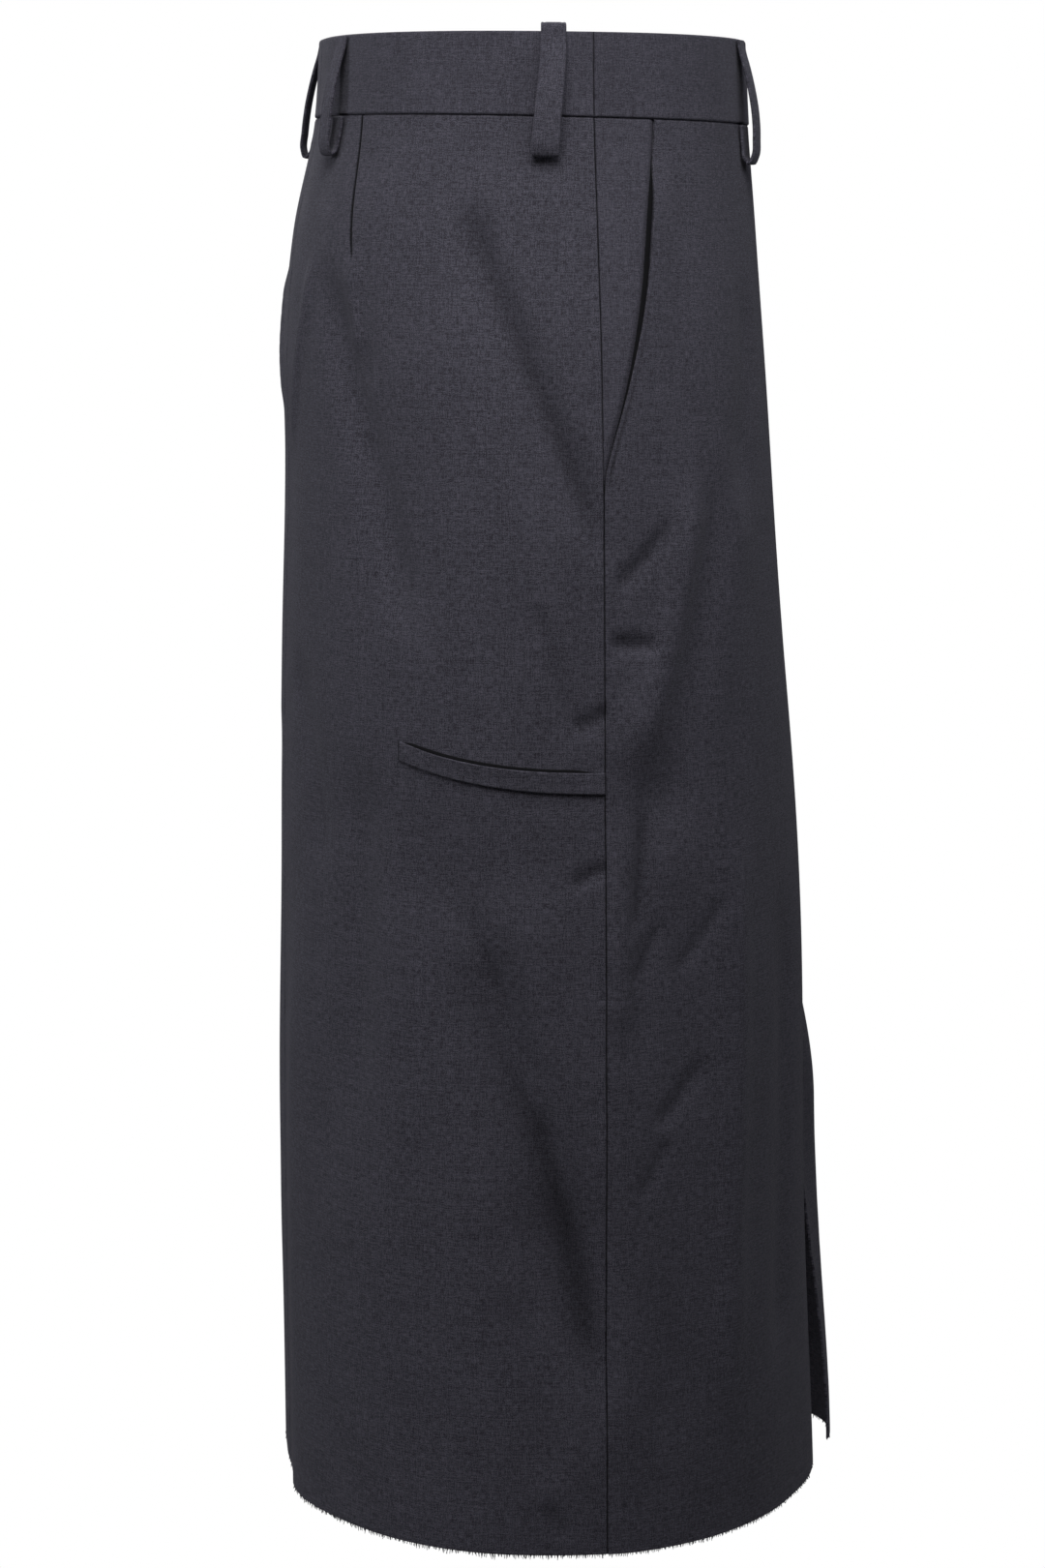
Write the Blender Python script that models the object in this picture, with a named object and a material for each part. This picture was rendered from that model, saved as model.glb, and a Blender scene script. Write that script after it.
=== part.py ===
"""Slit midi skirt of charcoal wool, hollow and filled out as when it is worn.

Metres, +Z up, the front at -Y and the wearer's right at -X. The origin is the centre of the waistband.
A place on the skirt is given by its side (-1 right, 1 left), by "around", which runs from -1 at the centre
back through 0 at the side seam to 1 at the centre front, and by its height. "Lift" is the distance out of
the cloth's outer face.
"""

from collections import namedtuple
from functools import partial
from math import pi

import bmesh
import bpy
import numpy as np

COLLECTION = "slit_midi_skirt"
RIGHT, LEFT = -1, 1
SIDE_NAMES = {RIGHT: "right", LEFT: "left"}

# Cloth walls and the gaps between pieces
CLOTH = 0.0014
BAND_WALL = 0.0024
BAND_PROUD = 0.0006
LOOP_WALL = 0.0016
POCKETING = 0.0012
HALF_SEAM = 0.00017
SEAM = 2 * HALF_SEAM
CLEARANCE = 0.0004

# Heights of the seams and edges
BAND_TOP = 0.0215
BAND_LOW = -0.0215
PANEL_TOP = BAND_LOW - SEAM
SLIT_TOP = -0.535
HEM = -0.760

# The plain form: the distances of side, front and back from the line of the side seams. A fullness of 2
# makes a quarter of an ellipse, more makes it squarer and less makes it flatter.
SIDE_SEAM_Y = -0.012
Section = namedtuple("Section", "height half_width front back right_fullness left_fullness back_fullness")
SECTIONS = (
    Section(-0.760, 0.205, 0.1463, 0.1462, 1.75, 2.10, 2.50),
    Section(-0.600, 0.199, 0.1400, 0.1478, 1.80, 2.15, 2.50),
    Section(-0.450, 0.194, 0.1362, 0.1475, 1.90, 2.15, 2.45),
    Section(-0.300, 0.190, 0.1250, 0.1461, 2.05, 2.15, 2.40),
    Section(-0.200, 0.185, 0.1159, 0.1437, 2.15, 2.15, 2.40),
    Section(-0.140, 0.177, 0.1112, 0.1442, 2.20, 2.20, 2.40),
    Section(-0.080, 0.164, 0.1072, 0.1387, 2.20, 2.20, 2.40),
    Section(-0.022, 0.151, 0.1032, 0.1264, 2.20, 2.20, 2.40),
    Section(0.022, 0.148, 0.1010, 0.1236, 2.20, 2.20, 2.40),
)
QUARTER_GIRTH = 0.265  # from a side seam to the centre front or back, at the hip

# The waist seam sits a little lower at the front than at the back, and the band's top edge less so
WAIST_TILT, TOP_TILT = 0.022, 0.010
TILT_START, TILT_END = -0.150, -0.020

# The large folds: each runs from one place to another, bowed sideways, and rises out of the form or
# sinks into it (a rise below zero). Lengths are in metres.
Fold = namedtuple("Fold", "from_around from_height to_around to_height bow half_width rise")
RIGHT_FOLDS = (
    Fold(-0.34, -0.060, -0.05, -0.235, 0.010, 0.024, -0.0035),
    Fold(-0.72, -0.090, -0.42, -0.300, 0.012, 0.030, -0.0040),
    Fold(-0.46, -0.345, -0.08, -0.690, 0.012, 0.034, -0.0055),
    Fold(-0.26, -0.400, -0.10, -0.600, 0.000, 0.040, 0.0045),
    Fold(-0.60, -0.330, -0.62, -0.600, 0.000, 0.030, -0.0030),
    Fold(0.42, -0.180, 0.09, -0.380, 0.012, 0.026, 0.0040),
    Fold(0.08, -0.360, 0.06, -0.740, 0.000, 0.024, 0.0030),
    Fold(0.34, -0.330, 0.32, -0.760, 0.000, 0.036, 0.0045),
    Fold(0.20, -0.380, 0.19, -0.740, 0.000, 0.030, -0.0030),
    Fold(-0.82, -0.420, -0.80, -0.900, 0.000, 0.045, 0.0040),
)
LEFT_FOLDS = (
    Fold(-0.30, -0.070, -0.07, -0.250, 0.012, 0.026, -0.0032),
    Fold(-0.66, -0.100, -0.46, -0.290, 0.010, 0.030, -0.0036),
    Fold(-0.50, -0.370, -0.14, -0.700, 0.014, 0.036, -0.0050),
    Fold(-0.30, -0.430, -0.16, -0.640, 0.000, 0.040, 0.0040),
    Fold(-0.72, -0.360, -0.70, -0.640, 0.000, 0.032, -0.0030),
    Fold(0.36, -0.190, 0.12, -0.400, 0.010, 0.028, 0.0036),
    Fold(0.10, -0.380, 0.08, -0.740, 0.000, 0.026, 0.0030),
    Fold(0.44, -0.360, 0.40, -0.760, 0.000, 0.040, -0.0040),
    Fold(0.86, -0.420, 0.85, -1.100, 0.000, 0.048, 0.0240),
)
FOLD_END = 0.22  # share of a fold's length over which each end dies away
SEAM_HOLD = 0.045  # the centre seams keep the folds of the two halves apart over this distance

# The slit: each front edge stands this far from the centre at the hem
SLIT_OPEN = {RIGHT: 0.012, LEFT: 0.006}

# Darts of the back panels
DART_TOP_AROUND, DART_END_AROUND = -0.640, -0.597
DART_END = -0.100
DART_HALF_WIDTH = 0.0022
DART_DEPTH = 0.0011
DART_FADE = 0.030

# The slash pocket's mouth, from its end at the side seam up to the waistband
Mouth = namedtuple("Mouth", "height around")
MOUTH = (
    Mouth(-0.2140, 0.000),
    Mouth(-0.2040, 0.006),
    Mouth(-0.1930, 0.020),
    Mouth(-0.1640, 0.065),
    Mouth(-0.1130, 0.127),
    Mouth(-0.0630, 0.167),
    Mouth(-0.0400, 0.188),
    Mouth(-0.0215, 0.201),
)
MOUTH_TOP = -0.040
MOUTH_TACK = 0.030
MOUTH_GAPE = 0.0016
MOUTH_GAPE_WIDTH = 0.018
UNDERLAP = 0.0007
FACING_UNDER = 0.022
FACING_TIP = 0.012
FACING_END = -0.232
BAG_TOP, BAG_END = -0.045, -0.300
BAG_FROM_SEAM = 0.008
BAG_WIDTH = 0.140
BAG_NARROWING = 0.35

# The welt pocket of the back panel
WELT_REACH = 0.453
WELT_SEAM_WIDTH, WELT_END_WIDTH = 0.0112, 0.0100
WELT_HEIGHT = -0.3595
WELT_CLIMB = 0.0145
WELT_CURVE = 2.4
WELT_WALL = 0.0013
WELT_BAG_FROM, WELT_BAG_TO = 0.030, 0.430
WELT_BAG_END = -0.470

# Belt loops: where each stands around the waist, and how far it leans backwards going down
Loop = namedtuple("Loop", "name side around lean")
LOOPS = (
    Loop("front", RIGHT, 0.620, 0.000),
    Loop("front", LEFT, 0.620, 0.000),
    Loop("side", RIGHT, -0.105, -0.020),
    Loop("side", LEFT, -0.105, -0.020),
    Loop("back", RIGHT, -0.745, 0.000),
    Loop("back", LEFT, -0.715, 0.000),
)
LOOP_WIDTH = 0.013
LOOP_FOOT = -0.0430

# The middle of a loop's strip. From the band's top edge it hangs clear of the band to below the lower seam,
# folds inwards and climbs back to that seam. The side loops start with a fold over the top edge.
Knot = namedtuple("Knot", "lift height")
LOOP_FALL = (
    Knot(0.0019, 0.0208),
    Knot(0.0028, 0.0150),
    Knot(0.0050, 0.0060),
    Knot(0.0070, -0.0040),
    Knot(0.0085, -0.0160),
    Knot(0.0084, -0.0300),
    Knot(0.0070, -0.0395),
    Knot(0.0046, -0.0430),
    Knot(0.0026, -0.0410),
    Knot(0.0019, -0.0340),
    Knot(0.0018, -0.0224),
)
LOOP_OVER_TOP = (
    Knot(-0.0008, 0.0226),
    Knot(-0.0008, 0.0240),
    Knot(0.0003, 0.0253),
    Knot(0.0017, 0.0240),
)

# Zip behind the centre-back seam
ZIP_WIDTH = 0.024
ZIP_WALL = 0.0012
ZIP_TOP, ZIP_END = 0.019, -0.205

# Grids: columns around and rows down
FRONT_GRID = (16, 34)
BACK_GRID = (22, 34)
DART_COLUMN = 14
BAND_FRONT_GRID = (40, 2)
BAND_BACK_GRID = (20, 2)
LOOP_GRID = (1, 30)
FACING_GRID = (8, 14)
BAG_GRID = (6, 8)
WELT_GRID = (14, 1)
WELT_BAG_GRID = (6, 4)
ZIP_GRID = (4, 12)

# Colours, linear
WOOL = (0.040, 0.038, 0.047)
BAND_WOOL = (0.046, 0.044, 0.053)
POCKET_CLOTH = (0.034, 0.033, 0.040)
TAPE = (0.020, 0.019, 0.024)


def smooth(value):
    """0 below 0, 1 above 1 and an even curve between."""
    value = np.clip(value, 0.0, 1.0)
    return value * value * (3 - 2 * value)


def smooth_curve(positions, values, where):
    """Values at the given places, on a smooth curve through those at the rising positions."""
    where = np.clip(where, positions[0], positions[-1])
    slopes = np.gradient(values, positions, axis=0)
    i = np.clip(np.searchsorted(positions, where) - 1, 0, len(positions) - 2)
    span = positions[i + 1] - positions[i]
    u = (where - positions[i]) / span
    if values.ndim > 1:
        span, u = span[:, None], u[:, None]
    return (
        values[i] * (1 + 2 * u) * (1 - u) ** 2
        + values[i + 1] * u**2 * (3 - 2 * u)
        + span * (slopes[i] * u * (1 - u) ** 2 - slopes[i + 1] * u**2 * (1 - u))
    )


def along(rows, key, height):
    """A table's column at the given heights; the lowest row comes first."""
    heights = np.array([row.height for row in rows])
    return smooth_curve(heights, np.array([getattr(row, key) for row in rows]), height)


def plain_form(side, around, height):
    """(x, y) of the skirt's form without its folds."""
    front = around > 0
    front_fullness = np.where(
        side < 0, along(SECTIONS, "right_fullness", height), along(SECTIONS, "left_fullness", height)
    )
    fullness = np.where(front, front_fullness, along(SECTIONS, "back_fullness", height))
    depth = np.where(front, -along(SECTIONS, "front", height), along(SECTIONS, "back", height))
    turn = np.abs(around) * pi / 2
    across, forward = np.clip(np.cos(turn), 0, 1), np.sin(turn)
    swell = (across**fullness + forward**fullness) ** (-1 / fullness)
    x = side * along(SECTIONS, "half_width", height) * across * swell
    return x, SIDE_SEAM_Y + depth * forward * swell


def fold_rise(fold, around, height):
    """How far one fold lifts the cloth at each place."""
    start = np.array([fold.from_around * QUARTER_GIRTH, fold.from_height])
    run = np.array([fold.to_around * QUARTER_GIRTH, fold.to_height]) - start
    length = np.hypot(*run)
    run = run / length
    right = around * QUARTER_GIRTH - start[0]
    down = height - start[1]
    share = (right * run[0] + down * run[1]) / length
    beside = right * run[1] - down * run[0] + fold.bow * 4 * share * (1 - share)
    ends = smooth(share / FOLD_END) * smooth((1 - share) / FOLD_END)
    return fold.rise * ends * np.exp(-((beside / fold.half_width) ** 2))


def slit_share(height):
    """0 at the top of the slit, 1 at the hem."""
    return smooth((SLIT_TOP - height) / (SLIT_TOP - HEM))


def drape(side, around, height):
    """How far the folds lift the cloth out of the plain form."""
    right = sum(fold_rise(fold, around, height) for fold in RIGHT_FOLDS)
    left = sum(fold_rise(fold, around, height) for fold in LEFT_FOLDS)
    from_centre = (1 - np.abs(around)) * QUARTER_GIRTH
    held = smooth(from_centre / SEAM_HOLD)
    held = np.where(around > 0, held + (1 - held) * slit_share(height), held)
    return np.where(side < 0, right, left) * held


def outer_face(side, around, height):
    """Points of the cloth's outer face, folds and all."""
    step = 1e-3
    x, y = plain_form(side, around, height)
    near_x, near_y = plain_form(side, np.maximum(around - step, -1.0), height)
    far_x, far_y = plain_form(side, np.minimum(around + step, 1.0), height)
    run_x, run_y = far_x - near_x, far_y - near_y
    out = -side / np.hypot(run_x, run_y)
    rise = drape(side, around, height)
    tilt = WAIST_TILT * smooth((height - TILT_START) / (TILT_END - TILT_START))
    tilt = tilt - (WAIST_TILT - TOP_TILT) * smooth((height - BAND_LOW) / (BAND_TOP - BAND_LOW))
    return np.stack([x + out * run_y * rise, y - out * run_x * rise, height + tilt * y], axis=-1)


def lifted(side, around, height, lift):
    """Points at a lift from the cloth's outer face, square to it."""
    side, around, height, lift = np.broadcast_arrays(side, around, height, lift)
    step = 1e-3
    run = outer_face(side, np.minimum(around + step, 1.0), height)
    run = run - outer_face(side, np.maximum(around - step, -1.0), height)
    climb = outer_face(side, around, height + step) - outer_face(side, around, height - step)
    normal = np.cross(run, climb) * -side[..., None]
    normal /= np.linalg.norm(normal, axis=-1, keepdims=True)
    return outer_face(side, around, height) + normal * lift[..., None]


def new_object(name, mesh_builder, material):
    mesh = bpy.data.meshes.new(name)
    mesh_builder.to_mesh(mesh)
    mesh_builder.free()
    mesh.materials.append(material)
    part = bpy.data.objects.new(name, mesh)
    bpy.data.collections[COLLECTION].objects.link(part)
    return part


def sheet(name, material, grid, place, wall):
    """A cloth wall: a grid laid on place(across, down, lift), with its back a wall's thickness behind."""
    columns, rows = grid
    builder = bmesh.new()
    bmesh.ops.create_grid(builder, x_segments=columns, y_segments=rows, size=0.5)
    face_points = list(builder.verts)
    copy = bmesh.ops.extrude_face_region(builder, geom=builder.faces[:])
    back_points = [item for item in copy["geom"] if isinstance(item, bmesh.types.BMVert)]
    bmesh.ops.translate(builder, verts=back_points, vec=(0.0, 0.0, -1.0))
    bmesh.ops.recalc_face_normals(builder, faces=builder.faces[:])
    for points, lift in ((face_points, 0.0), (back_points, -wall)):
        across = np.array([point.co.x for point in points]) + 0.5
        down = 0.5 - np.array([point.co.y for point in points])
        for point, place_of_it in zip(points, place(across, down, lift)):
            point.co = place_of_it
    if builder.calc_volume(signed=True) < 0:
        bmesh.ops.reverse_faces(builder, faces=builder.faces[:])
    return new_object(name, builder, material)


def between(start, end, share):
    return start + (end - start) * share


def girth_share(distance):
    """What share of a quarter's girth a distance along the cloth takes up."""
    return distance / QUARTER_GIRTH


SEAM_INSET = girth_share(HALF_SEAM)


def mouth_around(height):
    """Where the pocket's mouth lies at each height; at the side seam below its end."""
    return np.where(height > MOUTH[0].height, along(MOUTH, "around", height), 0.0)


def front_panel(side, material):
    """From the pocket mouth, and below it the side seam, to the centre-front seam and the slit's edge."""

    def place(across, down, lift):
        height = between(PANEL_TOP, HEM, down)
        side_edge = mouth_around(height) + SEAM_INSET
        opening = between(HALF_SEAM, SLIT_OPEN[side], slit_share(height))
        around = between(side_edge, 1 - girth_share(opening), across)
        from_edge = (around - side_edge) * QUARTER_GIRTH
        ends = smooth((height - MOUTH[0].height) / MOUTH_TACK) * smooth((MOUTH_TOP - height) / MOUTH_TACK)
        gape = MOUTH_GAPE * ends * np.exp(-((from_edge / MOUTH_GAPE_WIDTH) ** 2))
        return lifted(side, around, height, lift + gape)

    sheet(f"front_panel_{SIDE_NAMES[side]}", material, FRONT_GRID, place, CLOTH)


def back_panel(side, material):
    """From the side seam to the centre-back seam. Three columns follow the dart, and the middle one sinks."""
    columns = BACK_GRID[0]
    before, middle, after = ((DART_COLUMN + step) / columns for step in (-1, 0, 1))

    def place(across, down, lift):
        height = between(PANEL_TOP, HEM, down)
        share = np.clip((PANEL_TOP - height) / (PANEL_TOP - DART_END), 0, 1)
        dart = between(DART_TOP_AROUND, DART_END_AROUND, share)
        half_width = girth_share(DART_HALF_WIDTH)
        around = np.select(
            [across < before, across < middle, across < after],
            [
                between(-SEAM_INSET, dart + half_width, across / before),
                between(dart + half_width, dart, (across - before) * columns),
                between(dart, dart - half_width, (across - middle) * columns),
            ],
            between(dart - half_width, SEAM_INSET - 1, (across - after) / (1 - after)),
        )
        on_dart = np.abs(across - middle) < 0.5 / columns
        depth = np.where(on_dart, DART_DEPTH * smooth((height - DART_END) / DART_FADE), 0.0)
        return lifted(side, around, height, lift - depth)

    sheet(f"back_panel_{SIDE_NAMES[side]}", material, BACK_GRID, place, CLOTH)


def waistband(material):
    """One piece across the front, between the side seams, and two at the back that meet at its centre."""

    def place_front(across, down, lift):
        side = np.where(across < 0.5, RIGHT, LEFT)
        around = between(SEAM_INSET, 1.0, 1 - np.abs(1 - 2 * across))
        return lifted(side, around, between(BAND_TOP, BAND_LOW, down), lift + BAND_PROUD)

    def place_back(side, across, down, lift):
        around = between(-SEAM_INSET, SEAM_INSET - 1, across)
        return lifted(side, around, between(BAND_TOP, BAND_LOW, down), lift + BAND_PROUD)

    sheet("waistband_front", material, BAND_FRONT_GRID, place_front, BAND_WALL)
    for side, word in SIDE_NAMES.items():
        sheet(f"waistband_back_{word}", material, BAND_BACK_GRID, partial(place_back, side), BAND_WALL)


def loop_path(knots, share):
    """(lift, height) at a share of the way along a belt loop's strip."""
    run = np.concatenate([[0], np.cumsum(np.hypot(*np.diff(knots, axis=0).T))])
    return smooth_curve(run, knots, share * run[-1])


def belt_loop(loop, material):
    """A strip of cloth that follows the loop's path, square to the band."""
    knots = np.array(LOOP_OVER_TOP + LOOP_FALL if loop.name == "side" else LOOP_FALL)
    step = 1e-3
    ends = outer_face(loop.side, np.array([loop.around, loop.around + step]), np.zeros(2))
    share_of_width = LOOP_WIDTH * step / np.linalg.norm(ends[1] - ends[0])

    def place(across, down, lift):
        run = loop_path(knots, down + step) - loop_path(knots, down - step)
        square = np.stack([-run[:, 1], run[:, 0]], axis=1) / np.hypot(*run.T)[:, None]
        path = loop_path(knots, down) + (lift + LOOP_WALL / 2) * square
        fallen = smooth((BAND_TOP - path[:, 1]) / (BAND_TOP - LOOP_FOOT))
        around = loop.around + loop.lean * fallen + (across - 0.5) * share_of_width
        return lifted(loop.side, around, path[:, 1], path[:, 0])

    sheet(f"loop_{loop.name}_{SIDE_NAMES[loop.side]}", material, LOOP_GRID, place, LOOP_WALL)


def facing_lift(around, height):
    """The facing carries on from the back panel at the side seam and sinks under the front at the mouth."""
    mouth = mouth_around(height) * QUARTER_GIRTH
    from_seam = around * QUARTER_GIRTH
    sunk = smooth(from_seam / np.maximum(0.9 * mouth, CLEARANCE))
    return -(CLOTH + UNDERLAP) * np.maximum(sunk, 1 - smooth(mouth / FACING_TIP))


def pocket_facing(side, material):
    def place(across, down, lift):
        height = between(PANEL_TOP, FACING_END, down)
        around = between(SEAM_INSET, mouth_around(height) + girth_share(FACING_UNDER), across)
        return lifted(side, around, height, lift + facing_lift(around, height))

    sheet(f"pocket_facing_{SIDE_NAMES[side]}", material, FACING_GRID, place, CLOTH)


def pocket_bag(side, material):
    """A flat bag behind the facing, narrower and rounded towards its foot."""

    def place(across, down, lift):
        height = between(BAG_TOP, BAG_END, down)
        width = BAG_WIDTH * (1 - BAG_NARROWING * down**3)
        around = girth_share(BAG_FROM_SEAM + width * across)
        return lifted(side, around, height, lift - 2 * CLOTH - UNDERLAP - CLEARANCE)

    sheet(f"pocket_bag_{SIDE_NAMES[side]}", material, BAG_GRID, place, POCKETING)


def welt(side, material):
    """A strip on the back panel, from the side seam backwards, that climbs towards its back end."""

    def place(across, down, lift):
        around = -between(SEAM_INSET, WELT_REACH, across)
        width = between(WELT_SEAM_WIDTH, WELT_END_WIDTH, across)
        height = WELT_HEIGHT + WELT_CLIMB * across**WELT_CURVE + width * (0.5 - down)
        return lifted(side, around, height, lift + WELT_WALL + CLEARANCE)

    sheet(f"welt_{SIDE_NAMES[side]}", material, WELT_GRID, place, WELT_WALL)


def welt_bag(side, material):
    """The flat bag of the welt pocket, on the inside of the back panel."""

    def place(across, down, lift):
        around = -between(WELT_BAG_FROM, WELT_BAG_TO, across)
        height = between(WELT_HEIGHT + WELT_CLIMB, WELT_BAG_END, down)
        return lifted(side, around, height, lift - CLOTH - UNDERLAP)

    sheet(f"welt_bag_{SIDE_NAMES[side]}", material, WELT_BAG_GRID, place, POCKETING)


def back_zip(material):
    """The closed tape of the concealed zip, behind the centre-back seam and the ends of the band."""

    def place(across, down, lift):
        side = np.where(across < 0.5, RIGHT, LEFT)
        around = girth_share(np.abs(across - 0.5) * ZIP_WIDTH) - 1
        return lifted(side, around, between(ZIP_TOP, ZIP_END, down), lift - BAND_WALL + BAND_PROUD - CLEARANCE)

    sheet("back_zip", material, ZIP_GRID, place, ZIP_WALL)


def principled(name, colour, roughness):
    material = bpy.data.materials.new(name)
    material.use_nodes = True
    shader = material.node_tree.nodes["Principled BSDF"]
    shader.inputs["Base Color"].default_value = (*colour, 1.0)
    shader.inputs["Roughness"].default_value = roughness
    shader.inputs["Metallic"].default_value = 0.0
    material.diffuse_color = (*colour, 1.0)
    return material


def clear_scene():
    for item in list(bpy.data.objects):
        bpy.data.objects.remove(item, do_unlink=True)


def main():
    clear_scene()
    parts = bpy.data.collections.new(COLLECTION)
    bpy.context.scene.collection.children.link(parts)
    wool = principled("wool", WOOL, 0.85)
    band_wool = principled("band_wool", BAND_WOOL, 0.85)
    pocketing = principled("pocketing", POCKET_CLOTH, 0.75)
    tape = principled("zip_tape", TAPE, 0.6)
    waistband(band_wool)
    for side in SIDE_NAMES:
        front_panel(side, wool)
        back_panel(side, wool)
        pocket_facing(side, wool)
        pocket_bag(side, pocketing)
        welt(side, wool)
        welt_bag(side, pocketing)
    for loop in LOOPS:
        belt_loop(loop, band_wool)
    back_zip(tape)


if __name__ == "__main__":
    main()
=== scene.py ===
"""Slit midi skirt of charcoal wool: cloth shells on the part's own form, their finishes and a studio stage.

A place on the skirt is given by its side (-1 right, 1 left), by "around", which runs from -1 at the centre
back through 0 at the side seam to 1 at the centre front, and by its height. "Lift" is the distance out of
the cloth's outer face. Metres throughout, +Z up, the wearer's front at -Y.
"""

from collections import namedtuple
from functools import partial
from math import cos, pi, radians, sin

import bmesh
import bpy
import numpy as np
from mathutils import Matrix, Vector


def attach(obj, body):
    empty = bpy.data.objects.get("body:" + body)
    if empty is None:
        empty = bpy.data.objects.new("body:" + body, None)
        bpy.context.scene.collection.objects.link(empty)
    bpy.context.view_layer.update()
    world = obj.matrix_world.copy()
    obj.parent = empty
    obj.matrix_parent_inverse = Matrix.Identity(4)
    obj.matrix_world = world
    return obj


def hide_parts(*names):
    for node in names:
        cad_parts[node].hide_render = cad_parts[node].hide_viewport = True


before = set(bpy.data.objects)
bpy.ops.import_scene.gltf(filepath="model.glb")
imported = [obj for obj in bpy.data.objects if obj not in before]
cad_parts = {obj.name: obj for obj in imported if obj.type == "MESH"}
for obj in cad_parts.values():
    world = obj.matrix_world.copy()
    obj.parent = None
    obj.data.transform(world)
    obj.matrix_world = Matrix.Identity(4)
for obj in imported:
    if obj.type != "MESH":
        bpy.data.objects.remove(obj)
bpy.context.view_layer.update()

bl_info = {
    "name": "Slit midi skirt",
    "version": (1, 0, 0),
    "blender": (4, 5, 0),
    "location": "3D View > Sidebar > Skirt",
    "description": "Builds a filled-out slit midi skirt of wool cloth around its frame",
    "category": "Object",
}

RIGHT, LEFT = -1, 1
SIDE_NAMES = {RIGHT: "right", LEFT: "left"}

# Form: the same sizes as the part's solids
SEAM = 0.00034
CLEARANCE = 0.0004
BAND_PROUD = 0.0006
BAND_TOP = 0.0215
BAND_LOW = -0.0215
PANEL_TOP = BAND_LOW - SEAM
SLIT_TOP = -0.535
HEM = -0.760
SIDE_SEAM_Y = -0.012
QUARTER_GIRTH = 0.265
WAIST_TILT, TOP_TILT = 0.022, 0.010
TILT_START, TILT_END = -0.150, -0.020
FOLD_END = 0.22
SEAM_HOLD = 0.045
SLIT_OPEN = {RIGHT: 0.012, LEFT: 0.006}
UNDERLAP = 0.0007
# The small step over which a slope is measured
STEP = 1e-3


def rows(kind, *numbers):
    """A table's rows as namedtuples of one kind."""
    return tuple(kind(*row) for row in numbers)


Section = namedtuple("Section", "height half_width front back right_fullness left_fullness back_fullness")
SECTIONS = rows(
    Section,
    (-0.76, 0.205, 0.1463, 0.1462, 1.75, 2.1, 2.5),
    (-0.6, 0.199, 0.14, 0.1478, 1.8, 2.15, 2.5),
    (-0.45, 0.194, 0.1362, 0.1475, 1.9, 2.15, 2.45),
    (-0.3, 0.19, 0.125, 0.1461, 2.05, 2.15, 2.4),
    (-0.2, 0.185, 0.1159, 0.1437, 2.15, 2.15, 2.4),
    (-0.14, 0.177, 0.1112, 0.1442, 2.2, 2.2, 2.4),
    (-0.08, 0.164, 0.1072, 0.1387, 2.2, 2.2, 2.4),
    (-0.022, 0.151, 0.1032, 0.1264, 2.2, 2.2, 2.4),
    (0.022, 0.148, 0.101, 0.1236, 2.2, 2.2, 2.4),
)

# Folds, which the part's solids have too, and the finer creases: each runs from one place to another,
# bowed sideways, and rises out of the form or, with a rise below zero, sinks into it
Fold = namedtuple("Fold", "from_around from_height to_around to_height bow half_width rise")
RIGHT_FOLDS = rows(
    Fold,
    (-0.34, -0.06, -0.05, -0.235, 0.01, 0.024, -0.0035),
    (-0.72, -0.09, -0.42, -0.3, 0.012, 0.03, -0.004),
    (-0.46, -0.345, -0.08, -0.69, 0.012, 0.034, -0.0055),
    (-0.26, -0.4, -0.1, -0.6, 0.0, 0.04, 0.0045),
    (-0.6, -0.33, -0.62, -0.6, 0.0, 0.03, -0.003),
    (0.42, -0.18, 0.09, -0.38, 0.012, 0.026, 0.004),
    (0.08, -0.36, 0.06, -0.74, 0.0, 0.024, 0.003),
    (0.34, -0.33, 0.32, -0.76, 0.0, 0.036, 0.0045),
    (0.2, -0.38, 0.19, -0.74, 0.0, 0.03, -0.003),
    (-0.82, -0.42, -0.8, -0.9, 0.0, 0.045, 0.004),
)
LEFT_FOLDS = rows(
    Fold,
    (-0.3, -0.07, -0.07, -0.25, 0.012, 0.026, -0.0032),
    (-0.66, -0.1, -0.46, -0.29, 0.01, 0.03, -0.0036),
    (-0.5, -0.37, -0.14, -0.7, 0.014, 0.036, -0.005),
    (-0.3, -0.43, -0.16, -0.64, 0.0, 0.04, 0.004),
    (-0.72, -0.36, -0.7, -0.64, 0.0, 0.032, -0.003),
    (0.36, -0.19, 0.12, -0.4, 0.01, 0.028, 0.0036),
    (0.1, -0.38, 0.08, -0.74, 0.0, 0.026, 0.003),
    (0.44, -0.36, 0.4, -0.76, 0.0, 0.04, -0.004),
    (0.86, -0.42, 0.85, -1.1, 0.0, 0.048, 0.024),
)
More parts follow.
